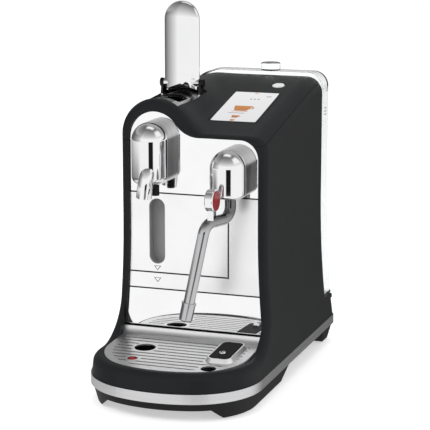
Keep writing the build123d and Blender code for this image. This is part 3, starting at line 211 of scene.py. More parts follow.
class EffectLibrary:
    """Builds each shared effect once."""

    MOTTLE_SCALE: float = 22.0
    LINE_TONE: Span = (0.86, 1.0)

    def __init__(self) -> None:
        """Builds the three node groups."""
        self.groups: dict[Effect, bpy.types.NodeTree] = {
            Effect.FINE_GRAIN: self.fine_grain(),
            Effect.SMUDGE: self.smudge(),
            Effect.BRUSH_LINES: self.brush_lines(),
        }

    @staticmethod
    def start(
        effect: Effect, inputs: dict[str, SocketKind], outputs: tuple[str, ...]
    ) -> tuple[Wiring, bpy.types.NodeOutputs]:
        """Starts an empty node group with named sockets.

        Args:
            effect: the effect that the group stands for.
            inputs: what each input takes.
            outputs: names of the outputs, which all give a number.

        Returns:
            The wiring of the group's tree, and the sockets that give what comes in.
        """
        tree = bpy.data.node_groups.new(effect.value, "ShaderNodeTree")
        for name, kind in inputs.items():
            tree.interface.new_socket(name=name, in_out="INPUT", socket_type=kind.value)
        for name in outputs:
            tree.interface.new_socket(name=name, in_out="OUTPUT", socket_type=SocketKind.NUMBER.value)
        wires = Wiring(tree)
        return wires, wires.node("NodeGroupInput").outputs

    def fine_grain(self) -> bpy.types.NodeTree:
        """Moulded grain: a fine noise as height, and a broad one as a tone about 1.

        Returns:
            The group's tree.
        """
        inputs = {"Scale": SocketKind.NUMBER, "Mottling": SocketKind.NUMBER}
        wires, given = self.start(Effect.FINE_GRAIN, inputs, ("Height", "Tone"))
        place = wires.place()
        height = wires.noise(place, FINE_NOISE, given["Scale"])
        broad = wires.noise(place, BROAD_NOISE, self.MOTTLE_SCALE)
        centred = wires.spread(broad, BROAD_NOISE.band, (-1.0, 1.0))
        tone = wires.math("MULTIPLY_ADD", centred, given["Mottling"], 1.0)
        wires.node("NodeGroupOutput", {"Height": height, "Tone": tone})
        return wires.tree

    def smudge(self) -> bpy.types.NodeTree:
        """Faint wipe marks: patches of noise between a clean and a smeared roughness.

        Returns:
            The group's tree.
        """
        inputs = {"Scale": SocketKind.NUMBER, "Clean": SocketKind.NUMBER, "Smeared": SocketKind.NUMBER}
        wires, given = self.start(Effect.SMUDGE, inputs, ("Roughness",))
        patches = wires.noise(wires.place(), PATCH_NOISE, given["Scale"])
        mask = wires.spread(patches, PATCH_NOISE.band)
        roughness = wires.spread(mask, (0.0, 1.0), (given["Clean"], given["Smeared"]))
        wires.node("NodeGroupOutput", {"Roughness": roughness})
        return wires.tree

    def brush_lines(self) -> bpy.types.NodeTree:
        """Brushed lines: noise on coordinates stretched so that it draws out along one way.

        Returns:
            The group's tree.
        """
        inputs = {"Stretch": SocketKind.VECTOR, "Low": SocketKind.NUMBER, "High": SocketKind.NUMBER}
        wires, given = self.start(Effect.BRUSH_LINES, inputs, ("Height", "Roughness", "Tone"))
        ways = {0: wires.place(), 1: given["Stretch"]}
        drawn = wires.node("ShaderNodeVectorMath", ways, operation="MULTIPLY").outputs[0]
        height = wires.spread(wires.noise(drawn, LINE_NOISE, 1.0), LINE_NOISE.band)
        roughness = wires.spread(height, (0.0, 1.0), (given["Low"], given["High"]))
        tone = wires.spread(height, (0.0, 1.0), self.LINE_TONE)
        wires.node("NodeGroupOutput", {"Height": height, "Roughness": roughness, "Tone": tone})
        return wires.tree


class MaterialWiring(Wiring):
    """The wiring of a new material."""

    def __init__(self, name: str) -> None:
        """Makes the material and starts with an empty tree.

        Args:
            name: the material's name.
        """
        self.material = bpy.data.materials.new(name)
        self.material.use_nodes = True
        super().__init__(self.material.node_tree)

    def show(self, shader: bpy.types.Node) -> None:
        """Joins a shader to the material's output."""
        self.node("ShaderNodeOutputMaterial", {"Surface": shader.outputs[0]})


class Surface(MaterialWiring):
    """A material with a surface shader and the shared effects at hand."""

    def __init__(self, name: str, effects: EffectLibrary) -> None:
        """Makes the material and its shader.

        Args:
            name: the material's name.
            effects: the shared effects.
        """
        super().__init__(name)
        self.effects = effects
        self.shader = self.node("ShaderNodeBsdfPrincipled")
        self.show(self.shader)

    def fix(self, socket: str, value: float | tuple[float, ...]) -> None:
        """Sets a value that is the same all over on the shader's own socket."""
        self.shader.inputs[socket].default_value = value

    def feed(self, socket: str, source: Socket) -> None:
        """Joins a value that changes over the surface to one of the shader's sockets."""
        self.tree.links.new(source, self.shader.inputs[socket])

    def effect(self, effect: Effect, **values: Value) -> bpy.types.NodeOutputs:
        """Places a shared effect.

        Args:
            effect: the effect to place.
            values: the values of its inputs.

        Returns:
            The effect's outputs.
        """
        return self.node("ShaderNodeGroup", values, node_tree=self.effects.groups[effect]).outputs

    def tint(self, colour: Colour, tone: Socket) -> None:
        """Scales a colour by a tone and feeds it to the base colour.

        Args:
            colour: the colour where the tone is 1.
            tone: the socket of the tone.
        """
        scaled = self.node("ShaderNodeVectorMath", {0: colour, "Scale": tone}, operation="SCALE")
        self.feed("Base Color", scaled.outputs[0])

    def bump(self, height: Socket, depth: float) -> None:
        """Feeds a height to the shader's normal.

        Args:
            height: the socket of the height, from 0 to 1.
            depth: how deep the relief is.
        """
        relief = {"Strength": 1.0, "Distance": depth * MM, "Height": height}
        self.feed("Normal", self.node("ShaderNodeBump", relief).outputs["Normal"])


class Finish:
    """A finish that can be laid on a surface."""

    def apply(self, surface: Surface) -> None:
        """Fills in a surface's colour, gloss and relief.

        Args:
            surface: the surface to fill in.
        """
        raise NotImplementedError


@dataclass(frozen=True)
class Grain:
    """A moulded grain: its scale, its depth and how much the colour is mottled."""

    scale: float
    depth: float
    mottling: float


class Grains(Enum):
    """The grains of the machine's plastics and rubbers."""

    MOULDED = Grain(scale=1400.0, depth=0.012, mottling=0.06)
    GLASSY = Grain(scale=200.0, depth=0.001, mottling=0.03)
    RUBBERY = Grain(scale=900.0, depth=0.03, mottling=0.06)
    LACQUERED = Grain(scale=900.0, depth=0.0006, mottling=0.04)
    MATT = Grain(scale=500.0, depth=0.001, mottling=0.03)
    SILKY = Grain(scale=700.0, depth=0.001, mottling=0.04)
    WOVEN = Grain(scale=400.0, depth=0.01, mottling=0.12)
    PRINTED = Grain(scale=1800.0, depth=0.002, mottling=0.06)


@dataclass(frozen=True)
class MouldedPlastic(Finish):
    """Plastic or rubber with a moulded grain."""

    colour: Colour
    grains: Grains
    roughness: float
    specular: float = 0.4
    roughness_swing: float = 0.05

    def apply(self, surface: Surface) -> None:
        """Lays on a mottled colour, a roughness that follows the grain, and its bump.

        Args:
            surface: the surface to fill in.
        """
        surface.fix("Specular IOR Level", self.specular)
        look = self.grains.value
        grain = surface.effect(Effect.FINE_GRAIN, Scale=look.scale, Mottling=look.mottling)
        surface.tint(self.colour, grain["Tone"])
        ends = (self.roughness - self.roughness_swing, self.roughness + self.roughness_swing)
        surface.feed("Roughness", surface.spread(grain["Height"], FINE_NOISE.band, ends))
        surface.bump(grain["Height"], look.depth)


@dataclass(frozen=True)
class WipedFinish(Finish):
    """A smooth finish with faint wipe marks and a little mottling."""

    colour: Colour
    clean: float
    smeared: float
    patch_scale: float = 26.0
    mottling: float = 0.02
    grain_scale: float = 500.0

    def layers(self, surface: Surface) -> tuple[Socket, Socket]:
        """Adds the wipe marks and the mottling.

        Args:
            surface: the surface that gets them.

        Returns:
            The roughness of the wipe marks and the tone of the mottling.
        """
        marks = surface.effect(
            Effect.SMUDGE, Scale=self.patch_scale, Clean=self.clean, Smeared=self.smeared
        )
        grain = surface.effect(Effect.FINE_GRAIN, Scale=self.grain_scale, Mottling=self.mottling)
        return marks["Roughness"], grain["Tone"]


@dataclass(frozen=True)
class PolishedMetal(WipedFinish):
    """Polished or plated metal."""

    def apply(self, surface: Surface) -> None:
        """Lays on plain metal, with roughness from the wipe marks.

        Args:
            surface: the surface to fill in.
        """
        surface.fix("Metallic", 1.0)
        roughness, tone = self.layers(surface)
        surface.feed("Roughness", roughness)
        surface.tint(self.colour, tone)


@dataclass(frozen=True, kw_only=True)
class SplitMetal(WipedFinish):
    """Metal that is polished before a line and satin, in another tone, past it. On the deck the darker tone
    past the line is painted shade behind and under the lever.
    """

    mottling: float = 0.03
    axis: Axis
    line: float
    blend: float = 0.4
    satin: float
    satin_and_shade_tone: float

    def apply(self, surface: Surface) -> None:
        """Lays on wipe marks all over, with more roughness and another tone past the line.

        Args:
            surface: the surface to fill in.
        """
        surface.fix("Metallic", 1.0)
        ends = (self.line * MM, (self.line + self.blend) * MM)
        past = surface.spread(surface.place_along(self.axis), ends)
        roughness, tone = self.layers(surface)
        surface.feed("Roughness", surface.math("MULTIPLY_ADD", past, self.satin, roughness))
        surface.tint(self.colour, surface.math("MULTIPLY_ADD", past, self.satin_and_shade_tone - 1.0, tone))


@dataclass(frozen=True)
class BrushedMetal(Finish):
    """Metal with drawn brush lines."""

    colour: Colour
    low: float
    high: float
    run: BrushRun
    line_depth: float = 0.004

    def apply(self, surface: Surface) -> None:
        """Lays on lines in tone, roughness and bump.

        Args:
            surface: the surface to fill in.
        """
        surface.fix("Metallic", 1.0)
        lines = surface.effect(Effect.BRUSH_LINES, Stretch=self.run.value, Low=self.low, High=self.high)
        surface.tint(self.colour, lines["Tone"])
        surface.feed("Roughness", lines["Roughness"])
        surface.bump(lines["Height"], self.line_depth)


@dataclass(frozen=True)
class ClearPlastic(WipedFinish):
    """Clear moulded plastic."""

    patch_scale: float = 18.0
    mottling: float = 0.015
    grain_scale: float = 300.0
    bend: float = 1.46

    def apply(self, surface: Surface) -> None:
        """Lays on full transmission with faint handling marks.

        Args:
            surface: the surface to fill in.
        """
        surface.fix("Transmission Weight", 1.0)
        surface.fix("IOR", self.bend)
        roughness, tone = self.layers(surface)
        surface.feed("Roughness", roughness)
        surface.tint(self.colour, tone)


@dataclass(frozen=True)
class LitPrint(Finish):
    """A lit patch of the screen that fades from one colour to another down the screen."""

    upper: Colour
    lower: Colour
    reach: float
    middle_y: float = 31.0
    unlit: tuple[float, ...] = (0.01, 0.01, 0.01, 1.0)
    specular: float = 0.2
    cover: float = 0.3
    cover_roughness: float = 0.02
    patch_scale: float = 30.0
    clean: float = 0.05
    smeared: float = 0.12

    def apply(self, surface: Surface) -> None:
        """Lays on a glow that follows the screen's length under a glossy cover.

        Args:
            surface: the surface to fill in.
        """
        surface.fix("Base Color", self.unlit)
        surface.fix("Emission Strength", 1.0)
        surface.fix("Coat Weight", self.cover)
        surface.fix("Coat Roughness", self.cover_roughness)
        surface.fix("Specular IOR Level", self.specular)
        ends = ((self.middle_y - self.reach) * MM, (self.middle_y + self.reach) * MM)
        share = surface.spread(surface.place_along(Axis.DEPTH), ends)
        colours = {"A": (*self.lower, 1.0), "B": (*self.upper, 1.0)}
        glow = surface.node("ShaderNodeMix", {"Factor": share, **colours}, data_type="RGBA")
        surface.feed("Emission Color", glow.outputs["Result"])
        marks = surface.effect(
            Effect.SMUDGE, Scale=self.patch_scale, Clean=self.clean, Smeared=self.smeared
        )
        surface.feed("Roughness", marks["Roughness"])


class Finishes(Enum):
    """Every finish of the machine. Its material has the same name, in small letters."""

    BLACK_SHELL = MouldedPlastic((0.0125, 0.0135, 0.0145), Grains.MOULDED, roughness=0.42, specular=0.14)
    BLACK_BASE = MouldedPlastic((0.009, 0.0095, 0.010), Grains.MOULDED, roughness=0.5, specular=0.16)
    GLOSS_BLACK = MouldedPlastic((0.006, 0.006, 0.0065), Grains.GLASSY, roughness=0.16, specular=0.3)
    SCREEN_GLASS = MouldedPlastic((0.004, 0.004, 0.0045), Grains.GLASSY, roughness=0.22, specular=0.12)
    SOFT_RUBBER = MouldedPlastic((0.018, 0.018, 0.018), Grains.RUBBERY, roughness=0.8, specular=0.25)
    GREY_PLASTIC = MouldedPlastic((0.13, 0.13, 0.135), Grains.MOULDED, roughness=0.5)
    BIN_GREY = MouldedPlastic((0.34, 0.34, 0.345), Grains.MOULDED, roughness=0.5)
    TRAY_PLASTIC = MouldedPlastic((0.06, 0.06, 0.062), Grains.MOULDED, roughness=0.42)
    RED_GLOSS = MouldedPlastic((0.31, 0.009, 0.014), Grains.LACQUERED, roughness=0.3, specular=0.3)
    FLOAT_RED = MouldedPlastic((0.36, 0.008, 0.012), Grains.LACQUERED, roughness=0.55, specular=0.12)
    PAD_BLACK = MouldedPlastic((0.005, 0.005, 0.0055), Grains.MATT, roughness=0.5, specular=0.05)
    # The power button is chrome; this white plastic is its bright reflection painted in as colour.
    POWER_BUTTON_PAINTED_REFLECTION = MouldedPlastic((0.74, 0.74, 0.75), Grains.SILKY, roughness=0.3)
    BOARD_GREEN = MouldedPlastic((0.02, 0.12, 0.05), Grains.WOVEN, roughness=0.3, specular=0.5)
    PRINT_GREY = MouldedPlastic((0.16, 0.16, 0.165), Grains.PRINTED, roughness=0.6, specular=0.3)
    MIRROR_STEEL = PolishedMetal((0.93, 0.93, 0.935), clean=0.02, smeared=0.06)
    SOFT_MIRROR = PolishedMetal((0.97, 0.97, 0.972), clean=0.3, smeared=0.36)
    SATIN_MIRROR = PolishedMetal((0.94, 0.94, 0.945), clean=0.05, smeared=0.09)
    BRIGHT_CHROME = PolishedMetal((0.88, 0.88, 0.89), clean=0.03, smeared=0.09)
    PLAIN_STEEL = PolishedMetal(
        (0.60, 0.61, 0.62), clean=0.25, smeared=0.4, patch_scale=60.0, mottling=0.08
    )
    HEATER_METAL = PolishedMetal(
        (0.55, 0.54, 0.52), clean=0.3, smeared=0.45, patch_scale=60.0, mottling=0.12
    )
    HEAD_CHROME = SplitMetal(
        colour=(0.88, 0.88, 0.89),
        clean=0.03,
        smeared=0.08,
        axis=Axis.DEPTH,
        line=-78.8,
        satin=0.26,
        satin_and_shade_tone=0.6,
    )
    WAND_STEEL = SplitMetal(
        colour=(0.52, 0.52, 0.53),
        clean=0.05,
        smeared=0.12,
        axis=Axis.HEIGHT,
        line=196.0,
        blend=16.0,
        satin=0.1,
        satin_and_shade_tone=0.3,
    )
    # Deck metal that turns near black above z = 325: painted shade behind and under the lever.
    DECK_SILVER_AND_SHADE = SplitMetal(
        colour=(0.52, 0.52, 0.53),
        clean=0.16,
        smeared=0.26,
        axis=Axis.HEIGHT,
        line=325.0,
        satin=0.1,
        satin_and_shade_tone=0.06,
    )
    BRUSHED_BAND = BrushedMetal((0.68, 0.68, 0.69), low=0.18, high=0.28, run=BrushRun.ROUND_THE_BAND)
    GRILLE_STEEL = BrushedMetal(
        (0.93, 0.93, 0.935), low=0.3, high=0.42, run=BrushRun.ACROSS, line_depth=0.001
    )
    CLEAR_PLASTIC = ClearPlastic((0.97, 0.98, 0.985), clean=0.01, smeared=0.05)
    SCREEN_WHITE = LitPrint(upper=(0.80, 0.80, 0.81), lower=(0.74, 0.74, 0.75), reach=45.0)
    CUP_ORANGE = LitPrint(upper=(0.62, 0.24, 0.04), lower=(0.44, 0.15, 0.018), reach=20.0)
    SCREEN_MARK = LitPrint(upper=(0.22, 0.22, 0.24), lower=(0.3, 0.26, 0.26), reach=40.0)


class FinishStore:
    """Makes each finish's material when it is first asked for and hands it out after that."""

    def __init__(self) -> None:
        """Builds the shared effects and starts with no material made."""
        self.effects = EffectLibrary()
        self.made: dict[Finishes, bpy.types.Material] = {}

    def get(self, finish: Finishes) -> bpy.types.Material:
        """Gives a finish's material.

        Args:
            finish: which finish.

        Returns:
            The material.
        """
        if finish not in self.made:
            surface = Surface(finish.name.lower(), self.effects)
            finish.value.apply(surface)
            self.made[finish] = surface.material
        return self.made[finish]


def grid(first: np.ndarray, second: np.ndarray) -> tuple[np.ndarray, np.ndarray]:
    """Two parameters at every point of a grid, from the values that each of them takes."""
    along, across = np.meshgrid(first, second, indexing="ij")
    return along, across


def grid_quads(rows: int, columns: int) -> np.ndarray:
    """Corner numbers of every cell of a grid of points.

    Args:
        rows: points along the first parameter.
        columns: points along the second parameter.

    Returns:
        One row of four point numbers for each cell.
    """
    row, column = grid(np.arange(rows - 1), np.arange(columns - 1))
    first = (row * columns + column).ravel()
    return np.stack([first, first + 1, first + columns + 1, first + columns], axis=1)


def ring_quads(rows: int, columns: int) -> np.ndarray:
    """Corner numbers of every cell of a grid that closes on itself along its second parameter.

    Args:
        rows: points along the first parameter.
        columns: points round the second parameter.

    Returns:
        One row of four point numbers for each cell.
    """
    row, column = grid(np.arange(rows - 1), np.arange(columns))
    after = (column + 1) % columns
    low = row * columns
    high = low + columns
    return np.stack([low + column, low + after, high + after, high + column], axis=-1).reshape(-1, 4)


def ring_mesh(points: np.ndarray) -> Mesh:
    """A closed skin over rings of points.

    Points that coincide are merged, faces without area are dropped, and the faces are turned
    outwards.

    Args:
        points: grid of shape (rows, columns, 3) in millimetres, closed along its columns.

    Returns:
        Points in metres and triangles.
    """
    quads = ring_quads(*points.shape[:2])
    places = np.round(points.reshape(-1, 3), MERGE_DECIMALS)
    merged, number = np.unique(places, axis=0, return_inverse=True)
    quads = number.reshape(-1)[quads]
    faces = np.concatenate([quads[:, [0, 1, 2]], quads[:, [0, 2, 3]]])
    first, second, third = faces.T
    faces = faces[(first != second) & (second != third) & (third != first)]
    first, second, third = merged[faces].transpose(1, 0, 2)
    if np.sum(first * np.cross(second, third)) < 0:
        faces = faces[:, ::-1]
    return merged * MM, faces


def slab_mesh(flat: np.ndarray, thickness: float, corner: np.ndarray, axes: np.ndarray) -> Mesh:
    """A thin closed slab over a flat grid.

    Formula: each grid point (a, b) becomes corner + a * first axis + b * second axis, once at the
    slab's foot and once a thickness higher along the third axis; the rims of the two sheets are
    joined by a wall.

    Args:
        flat: grid of shape (rows, columns, 2) in millimetres.
        thickness: height of the slab in millimetres.
        corner: where (0, 0) lies, in millimetres.
        axes: three unit vectors, one a row.

    Returns:
        Points in metres and faces.
    """
    rows, columns = flat.shape[:2]
    foot = corner + flat[..., 0:1] * axes[0] + flat[..., 1:2] * axes[1]
    top = foot + thickness * axes[2]
    points = np.concatenate([foot.reshape(-1, 3), top.reshape(-1, 3)]) * MM
    number = np.arange(rows * columns).reshape(rows, columns)
    rim = np.concatenate([number[0, :-1], number[:-1, -1], number[-1, :0:-1], number[:0:-1, 0]])
    after = np.roll(rim, -1)
    shift = rows * columns
    quads = grid_quads(rows, columns)
    wall = np.stack([rim, rim + shift, after + shift, after], axis=1)
    along = foot[1, 0] - foot[0, 0]
    across = foot[0, 1] - foot[0, 0]
    if np.cross(along, across) @ axes[2] > 0:
        faces = np.concatenate([quads, quads[:, ::-1] + shift, wall])
    else:
        faces = np.concatenate([quads[:, ::-1], quads + shift, wall[:, ::-1]])
    return points, faces


def round_bar(x: float, y: float, width: float, height: float) -> np.ndarray:
    """A flat bar with round ends.

    Formula: y = half height * v, and x = u * (half width less half the height, plus half the
    height times the root of 1 - v squared), where v is the sine of an angle.

    Args:
        x: its middle across.
        y: its middle upwards.
        width: full width.
        height: full height.

    Returns:
        Grid of points in millimetres.
    """
    points = 9
    steepest = 1.45
    u, v = grid(np.linspace(-1, 1, points), np.sin(np.linspace(-steepest, steepest, points)))
    half = (width - height) / 2 + height / 2 * np.sqrt(1 - v**2)
    return np.stack([x + u * half, y + v * height / 2], axis=-1)


def make_object(name: str, mesh: Mesh, material: bpy.types.Material) -> bpy.types.Object:
    """Puts worked-out points and faces into a new object of the scene.

    Args:
        name: the object's name.
        mesh: points in metres, and faces.
        material: what covers it.

    Returns:
        The new object.
    """
    points, faces = mesh
    data = bpy.data.meshes.new(name)
    data.from_pydata(points.tolist(), [], faces.tolist())
    data.materials.append(material)
    data.update()
    made = bpy.data.objects.new(name, data)
    bpy.context.scene.collection.objects.link(made)
    return made


@dataclass
class SubAssembly:
    """A group of the machine's pieces that are built and dressed together."""

    store: FinishStore
    nodes: dict[str, bpy.types.Object]

    def dress(self, finish: Finishes, *names: str) -> None:
        """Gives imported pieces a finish.

        Args:
            finish: the finish.
            names: the pieces' names.
        """
        material = self.store.get(finish)
        for name in names:
            for place in self.nodes[name].material_slots:
                place.material = material
            LOG.info("dressed %s in %s", name, material.name)

    def add(self, name: str, mesh: Mesh, finish: Finishes, body: str, slot: str) -> bpy.types.Object:
        """Adds a new piece that rides on a body.

        Args:
            name: the piece's name.
            mesh: points in metres, and faces.
            finish: the finish.
            body: the body that carries the piece.
            slot: not used; the record's slot that the finish stands for.

        Returns:
            The new object.
        """
        piece = make_object(name, mesh, self.store.get(finish))
        piece.data.shade_smooth()
        piece.data.set_sharp_from_angle(angle=SHARP_ANGLE)
        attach(piece, body)
        LOG.info("piece %s on %s: %d faces", name, body, len(piece.data.polygons))
        return piece

    def build(self) -> None:
        """Adds the group's own pieces and dresses all of them."""
        raise NotImplementedError


@dataclass
class BaseAssembly(SubAssembly):
    """Base pan, feet, screws, the brushed band round the foot and the valance under its front."""

    front_radius: float = 140.0
    front_centre_y: float = -55.0
    corner_radius: float = 80.0
    corner_centre: tuple[float, float] = (18.5, -112.08)
    corner_from_x: float = 43.2
    inset_at_floor: float = 7.9
    inset_lost: float = 5.5
    inset_lost_over: float = 19.5
    valance_low: float = 12.4
    valance_high: float = 16.6
    valance_depth: float = 3.0
    valance_half: float = 58.0
    valance_splay: float = 0.9
    valance_points: int = 121

    def plan_y(self, x: np.ndarray, inset: np.ndarray) -> np.ndarray:
        """Where the base's front lies.

        Formula: a wide arc in the middle and a tighter one at each corner, both drawn in by the inset.

        Args:
            x: places across the base in millimetres.
            inset: how far inside the widest outline, in millimetres.

        Returns:
            The depth of each place in millimetres.
        """
        side, centre_y = self.corner_centre
        middle = (self.front_radius - inset) ** 2 - x**2
        corner = (self.corner_radius - inset) ** 2 - (np.abs(x) - side) ** 2
        front = self.front_centre_y - np.sqrt(np.maximum(middle, 0.0))
        return np.where(np.abs(x) <= self.corner_from_x, front, centre_y - np.sqrt(np.maximum(corner, 0.0)))

    def valance(self) -> Mesh:
        """The strip that lowers the front arch between the feet.

        Formula: a four-cornered section follows the base's front; its two low corners reach further to
        the sides than its two high ones, and both ends shrink to the section's middle.

        Returns:
            Points in metres and faces.
        """
        share = np.concatenate([[-1.0], np.linspace(-1.0, 1.0, self.valance_points), [1.0]])[:, None]
        size = np.ones_like(share)
        size[[0, -1]] = 0.0
        height = np.array([0.0, 1.0, 1.0, 0.0]) * size + 0.5 * (1.0 - size)
        depth = np.array([0.0, 0.0, 1.0, 1.0]) * size + 0.5 * (1.0 - size)
        z = self.valance_low + (self.valance_high - self.valance_low) * height
        x = share * (self.valance_half + self.valance_splay * (self.valance_high - z))
        inset = self.inset_at_floor - self.inset_lost * z / self.inset_lost_over
        y = self.plan_y(x, inset) + self.valance_depth * depth
        return ring_mesh(np.stack([x, y, z], axis=-1))

    def build(self) -> None:
        """Adds the valance and dresses the base."""
        self.add("base_valance", self.valance(), Finishes.BLACK_BASE, "machine", "black_shell")
        self.dress(Finishes.BLACK_BASE, "base")
        self.dress(Finishes.SOFT_RUBBER, "foot_pads")
        self.dress(Finishes.PLAIN_STEEL, "base_screws")
        self.dress(Finishes.BRUSHED_BAND, "trim_band")


@dataclass
class HousingAssembly(SubAssembly):
    """Moulded housing, top cover, rear panel and cord gland."""

    def build(self) -> None:
        """Dresses the shell."""
        self.dress(Finishes.BLACK_SHELL, "housing", "top_cover", "rear_panel")
        self.dress(Finishes.SOFT_RUBBER, "cord_gland")


@dataclass(frozen=True)
class Seam:
    """A dark strip in a seam of the front: its left and lower ends and its size."""

    name: str
    left: float
    low: float
    width: float
    height: float


@dataclass
class FrontAssembly(SubAssembly):
    """Mirror front, capsule drawer, dark seams and the two marks that show how the drawer closes."""

    face_y: float = -59.5
    mark_x: float = -44.0
    drawer_mark_z: float = 136.4
    frame_mark_z: float = 122.6
    mark_width: float = 9.0
    mark_height: float = 5.6
    mark_stroke: float = 0.6
    mark_thickness: float = 0.06
    seam_thickness: float = 0.12
    seam_points: int = 9
    seams: tuple[Seam, ...] = (
        Seam("top_seam", left=-76.2, low=222.3, width=152.4, height=1.5),
        Seam("drawer_side_seam", left=40.6, low=129.5, width=1.5, height=92.8),
        Seam("drawer_foot_seam", left=-77.6, low=129.5, width=118.3, height=1.6),
        Seam("lower_seam", left=-78.6, low=110.5, width=157.2, height=1.6),
    )

    def seam_strip(self, seam: Seam) -> Mesh:
        """A dark strip that lies in a seam of the front.

        Formula: x and z run evenly over the strip's width and height.

        Args:
            seam: the strip's place and size.

        Returns:
            Points in metres and faces.
        """
        share = np.linspace(0.0, 1.0, self.seam_points)
        flat = np.stack(grid(seam.width * share, seam.height * share), axis=-1)
        corner = np.array([seam.left, self.face_y, seam.low])
        return slab_mesh(flat, self.seam_thickness, corner, FRONT_AXES)

    def mark_sheet(self, centre_z: float) -> Mesh:
        """A hollow triangle that points down.

        Formula: the second parameter runs round three corners a third of a turn apart and back to
        the first; the first parameter goes from the outer triangle to the inner one, which is the
        same triangle drawn in towards its middle.

        Args:
            centre_z: height of the mark's middle in millimetres.

        Returns:
            Points in metres and faces.
        """
        turn = np.radians(np.array([30.0, 150.0, 270.0, 30.0]))
        x = np.cos(turn) * self.mark_width / math.sqrt(3.0)
        z = np.sin(turn) * self.mark_height * 2.0 / 3.0
        outer = np.stack([x, z], axis=1)
        inner = outer * (1.0 - 3.0 * self.mark_stroke / self.mark_height)
        corner = np.array([self.mark_x, self.face_y, centre_z])
        return slab_mesh(np.stack([outer, inner]), self.mark_thickness, corner, FRONT_AXES)

    def build(self) -> None:
        """Dresses the front and adds the marks and the seams."""
        self.dress(Finishes.SOFT_MIRROR, "frame_panel", "capsule_front")
        self.dress(Finishes.SATIN_MIRROR, "upper_panel")
        self.dress(Finishes.MIRROR_STEEL, "lower_panel")
        self.dress(Finishes.BIN_GREY, "capsule_bin")
        drawer_mark = self.mark_sheet(self.drawer_mark_z)
        self.add("drawer_mark", drawer_mark, Finishes.PRINT_GREY, "drawer", "grey_plastic")
        frame_mark = self.mark_sheet(self.frame_mark_z)
        self.add("frame_mark", frame_mark, Finishes.PRINT_GREY, "machine", "grey_plastic")
        for seam in self.seams:
            self.add(seam.name, self.seam_strip(seam), Finishes.SOFT_RUBBER, "machine", "soft_rubber")


@dataclass
class HeadForm:
    """Sizes in millimetres of a head that stands out of the front, and its surfaces."""

    centre_x: float
    bottom: float
    top: float
    under_edge: float
    radius: float = 20.3
    axis_y: float = -80.0
    rear_y: float = -59.6
    groove_y: float = -78.2
    groove_width: float = 0.8
    groove_depth: float = 0.7
    plate_inset: float = 3.0
    plate_drop: float = 1.2
    plan_points: int = 73
    edge_points: int = 19
    dome_points: int = 41

    def carry(self, side: np.ndarray, outward: np.ndarray) -> Mesh:
        """Carries a side view round the head's plan.

        Formula: the side view gives a half width and a height for each value of the first
        parameter. The second goes round the plan: forward along one side, round a half circle of
        that half width, and back along the other side. At the groove the point moves in along the
        side view's outward direction.

        Args:
            side: half width and height of each point of the side view.
            outward: direction out of the head at each of those points.

        Returns:
            Points in metres and faces.
        """
        wide = self.groove_width
        steps = np.array([wide, wide / 2, -wide / 2, -wide])
        sides = np.concatenate([[self.rear_y], self.groove_y + steps])
        drawn = self.groove_depth * np.array([0.0, 0.0, 1.0, 1.0, 0.0])
        front = np.linspace(np.pi, 2 * np.pi, self.plan_points)
        turn = np.concatenate([np.full(sides.size, np.pi), front, np.full(sides.size, 2 * np.pi)])
        place = np.concatenate([sides, np.full(front.size, self.axis_y), sides[::-1]])
        inset = np.concatenate([drawn, np.zeros(front.size), drawn[::-1]])
        reach = side[:, :1] - inset * outward[:, :1]
        x = self.centre_x + reach * np.cos(turn)
        y = place + reach * np.sin(turn)
        z = side[:, 1:] - inset * outward[:, 1:]
        return ring_mesh(np.stack([x, y, z], axis=-1))

    def shell(self) -> Mesh:
        """The head's chrome shell.

        Formula: the side view runs out along the foot, round a quarter circle at the under edge, up
        the side and over a quarter circle to the top.

        Returns:
            Points in metres and faces.
        """
        edge = self.under_edge
        low = np.linspace(-np.pi / 2, 0.0, self.edge_points)
        high = np.linspace(0.0, np.pi / 2, self.dome_points)
        rim = self.radius - edge
        under = np.stack([rim + edge * np.cos(low), self.bottom + edge + edge * np.sin(low)], axis=1)
        dome_z = self.top - self.radius
        dome = np.stack([self.radius * np.cos(high), dome_z + self.radius * np.sin(high)], axis=1)
        side = np.concatenate([[[0.0, self.bottom]], under, dome])
        turn = np.concatenate([[-np.pi / 2], low, high])
        return self.carry(side, np.stack([np.cos(turn), np.sin(turn)], axis=1))

    def underside_shade(self) -> Mesh:
        """The dark plate under the head: black for the head's dark underside, and painted shade for the
        shadow under it.

        Formula: the side view is a flat bar that starts inside the foot and hangs a little below it.

        Returns:
            Points in metres and faces.
        """
        reach = self.radius - self.under_edge - self.plate_inset
        low = self.bottom - self.plate_drop
        high = self.bottom + self.plate_drop
        side = np.array([[0.0, low], [reach, low], [reach, high], [0.0, high]])
        return self.carry(side, np.zeros_like(side))


